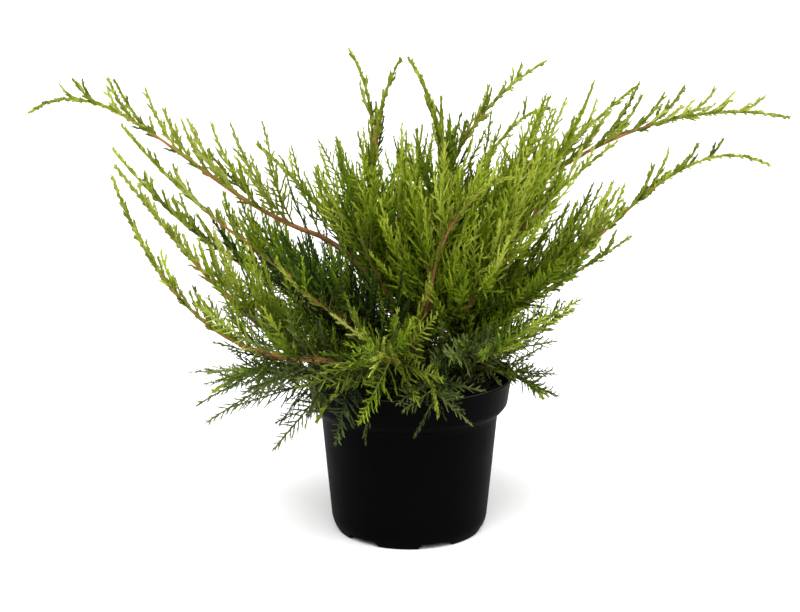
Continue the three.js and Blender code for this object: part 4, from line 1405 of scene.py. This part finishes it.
def green_material(name, colour):
    """Scale leaves: one plain green, waxy in places and finely pitted."""
    material, tree = new_material(name)
    place = object_place(tree)
    wax = noise(tree, place, scale=900.0, detail=2.0)
    pits = noise(tree, place, scale=2200.0, detail=2.0)
    finish_material(tree, {
        "Base Color": colour,
        "Roughness": 0.45 + 0.3 * wax,
        "Specular IOR Level": 0.12,
        "Normal": bumped(tree, pits, strength=0.35, distance=0.0003),
    })
    return material


# Thicknesses at which a limb is all bark and all young green, and how far patches of bark shift them
OLD_LIMB = 1.4
YOUNG_LIMB = 0.6
YOUTH_SHIFT = 1.6


def bark_material(name, deep, flake, grey, young):
    """Flaking bark, grey in patches, which turns green where the limb is thin and young."""
    material, tree = new_material(name)
    grain = tree.add("ShaderNodeAttribute", {"attribute_name": "grain"})["Vector"]
    strips = noise(tree, grain, scale=800.0, detail=4.0, roughness=0.62)
    patches = noise(tree, object_place(tree), scale=60.0)
    reddish = ramp(tree, strips, [(0.32, deep), (0.62, flake)])
    weathered = tree.mix((patches - 0.35) * (strips * 1.4), reddish, grey)
    thickness = tree.add("ShaderNodeAttribute", {"attribute_name": "thickness"})["Fac"]
    youth = from_to(tree, thickness + (patches - 0.5) * YOUTH_SHIFT, OLD_LIMB, YOUNG_LIMB)
    finish_material(tree, {
        "Base Color": tree.mix(youth, weathered, young),
        "Roughness": 0.95 - 0.3 * strips,
        "Specular IOR Level": 0.25,
        "Normal": bumped(tree, strips, strength=0.7, distance=0.0006),
    })
    return material


# Depths below the rim between which its lip is painted light grey: a painted highlight along the lip's
# top edge, broken up by the same noise as the dust
LIP_HIGHLIGHT_STARTS = 1.1
LIP_HIGHLIGHT_ENDS = 0.3


def plastic_material(name):
    """Moulded black plastic, pitted and drawn upright, dusty at its foot, with a painted highlight
    along its lip.
    """
    material, tree = new_material(name)
    place = object_place(tree)
    height = tree.add("ShaderNodeSeparateXYZ", {}, {"Vector": place})["Z"]
    upright = tree.add("ShaderNodeMapping", {}, {"Vector": place, "Scale": (1, 1, 0.05)})[0]
    dust_and_highlight_noise = noise(tree, place, scale=26.0, detail=5.0, roughness=0.6)
    pits = noise(tree, place, scale=1400.0, detail=2.0)
    draw = noise(tree, upright, scale=160.0)
    low = 1 - height * (1 / (POT_HEIGHT * MM))
    dusty = (dust_and_highlight_noise * dust_and_highlight_noise) * (0.25 + 0.5 * low)
    # Painted highlight: a light grey band along the lip's top edge, in patches where the noise that
    # makes the dust is high
    lip = from_to(tree, height, (POT_HEIGHT - LIP_HIGHLIGHT_STARTS) * MM, (POT_HEIGHT - LIP_HIGHLIGHT_ENDS) * MM)
    black = tree.mix(dusty, rgb(2, 2, 2), rgb(7, 7, 6))
    finish_material(tree, {
        "Base Color": tree.mix(lip * dust_and_highlight_noise, black, rgb(70, 70, 68)),
        "Roughness": 0.36 + 0.2 * dust_and_highlight_noise + 0.08 * draw,
        "Specular IOR Level": 0.014,
        "Normal": bumped(tree, pits * 0.4 + draw, strength=0.12, distance=0.0004),
    })
    return material


def mix_material(name):
    """Damp potting mix: near-black crumbs and brown chips."""
    material, tree = new_material(name)
    crumbs = noise(tree, object_place(tree), scale=230.0, detail=4.0, roughness=0.65)
    browns = [(0.3, rgb(7, 4, 3)), (0.5, rgb(23, 14, 9)), (0.72, rgb(49, 35, 23))]
    finish_material(tree, {
        "Base Color": ramp(tree, crumbs, browns),
        "Roughness": 0.85 + 0.1 * crumbs,
        "Specular IOR Level": 0.2,
        "Normal": bumped(tree, crumbs, strength=0.8, distance=0.001),
    })
    return material


def floor_material(name):
    material, tree = new_material(name)
    grain = noise(tree, object_place(tree), scale=300.0, detail=2.0)
    finish_material(tree, {
        "Base Color": (0.93, 0.93, 0.93, 1),
        "Roughness": 0.9 + 0.05 * grain,
        "Specular IOR Level": 0.0,
    })
    return material


# The greens from the darkest to the lightest, for the crown, the outer arms and near the pot. The
# greyer, bluer ones near the pot are painted shade.
GREENS = {
    "crown": [
        rgb(17, 29, 3), rgb(29, 46, 4), rgb(46, 64, 5), rgb(65, 85, 5),
        rgb(87, 109, 9), rgb(110, 130, 18), rgb(135, 149, 39), rgb(158, 169, 62),
    ],
    "arm": [
        rgb(22, 31, 4), rgb(46, 57, 8), rgb(74, 86, 14),
        rgb(102, 114, 26), rgb(131, 141, 46), rgb(156, 163, 76),
    ],
    "low": [
        rgb(19, 28, 7), rgb(41, 54, 19), rgb(69, 82, 34), rgb(98, 112, 54), rgb(132, 144, 82),
    ],
}
# Each bark's deep cracks, flakes, grey patches and young growth. The stem and boughs' bark is darker
# than the leaders', as painted shade inside the crown.
BARKS = {
    "stem bark": (rgb(60, 36, 17), rgb(126, 83, 47), rgb(114, 97, 74), rgb(110, 75, 41)),
    "leader bark": (rgb(98, 58, 26), rgb(160, 112, 63), rgb(142, 117, 74), rgb(118, 112, 42)),
    "stalk bark": (rgb(116, 76, 40), rgb(155, 116, 62), rgb(125, 116, 54), rgb(106, 121, 42)),
}


# Stage

# Each light's direction, strength and how many degrees across it is
SUNS = {
    "soft key": ((-0.45, -0.75, 1.5), 4.35, 64),
    "soft fill": ((0.8, -0.6, 1.3), 2.85, 76),
}
SKY_STRENGTH = 0.24
FLOOR_REACH = 30
# The camera: millimetres of lens, metres of place, and degrees that it looks down
LENS = 76.5
SENSOR = 36
CAMERA_PLACE = (-0.0105, -1.815, 0.692)
CAMERA_DIP = 13.6


def sun_light(name, toward, strength, softness):
    """A far light that shines from this direction, as soft as this many degrees across."""
    light = bpy.data.lights.new(name, "SUN")
    light.energy = strength
    light.angle = math.radians(softness)
    lamp = add_object(name, light)
    lamp.rotation_euler = Vector(toward).to_track_quat("Z", "Y").to_euler()


def make_stage():
    """White sky light, a pale floor and two soft lights."""
    world = bpy.data.worlds.new("studio white")
    bpy.context.scene.world = world
    world.use_nodes = True
    background = world.node_tree.nodes["Background"]
    background.inputs["Color"].default_value = (1, 1, 1, 1)
    background.inputs["Strength"].default_value = SKY_STRENGTH
    corners = [(x * FLOOR_REACH, y * FLOOR_REACH, 0.0) for x, y in ((-1, -1), (1, -1), (1, 1), (-1, 1))]
    floor = add_object("floor", mesh_of("floor", corners, [(0, 1, 2, 3)]))
    floor.data.materials.append(floor_material("pale floor"))
    for name, sun in SUNS.items():
        sun_light(name, *sun)
    bpy.context.scene.view_settings.view_transform = "Standard"


def make_camera():
    data = bpy.data.cameras.new("camera")
    data.lens = LENS
    data.sensor_width = SENSOR
    camera = add_object("camera", data)
    camera.location = CAMERA_PLACE
    camera.rotation_euler = (math.radians(90 - CAMERA_DIP), 0, 0)
    bpy.context.scene.camera = camera


# Assembly

make_camera()
make_stage()

palettes = {
    kind: [green_material(f"{kind} green {number}", colour) for number, colour in enumerate(colours, 1)]
    for kind, colours in GREENS.items()}
stem_bark, leader_bark, stalk_bark = (bark_material(name, *colours) for name, colours in BARKS.items())

limbs = limb_group()
boughs = run_tree("bark_stem_and_boughs", lines_object("bough lines", bough_lines()), limbs, {
    "Sides": 20, "Step": 1.3 * MM, "Relief": 0.34, "Strips": 520.0, "Bark": stem_bark})
leaders = run_tree("bark_leaders", lines_object("leader lines", leader_lines()), limbs, {
    "Sides": 7, "Step": 3 * MM, "Relief": 0.4, "Strips": 700.0, "Bark": leader_bark})
foliage, plumes = make_foliage(palettes)
stalks = run_tree("bark_stalks", lines_object("stalk lines", stalk_lines(plumes)), limbs, {
    "Sides": 4, "Step": 6 * MM, "Relief": 0.3, "Strips": 700.0, "Bark": stalk_bark})
pot = make_pot(plastic_material("black plastic"))
soil = make_soil(mix_material("potting mix"))

masses = [f"mass_{name}" for name in LEADERS]
bough_nodes = [f"bough_{name}" for name, (bough, _) in ROUTES.items() if bough is not None]
for piece in [boughs, leaders, stalks, pot, soil, *foliage]:
    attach(piece, "root")
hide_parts("stem", *bough_nodes)
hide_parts(*masses)
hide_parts(*masses)
for piece in foliage:
    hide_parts(*masses)
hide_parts("pot")
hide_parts("soil")
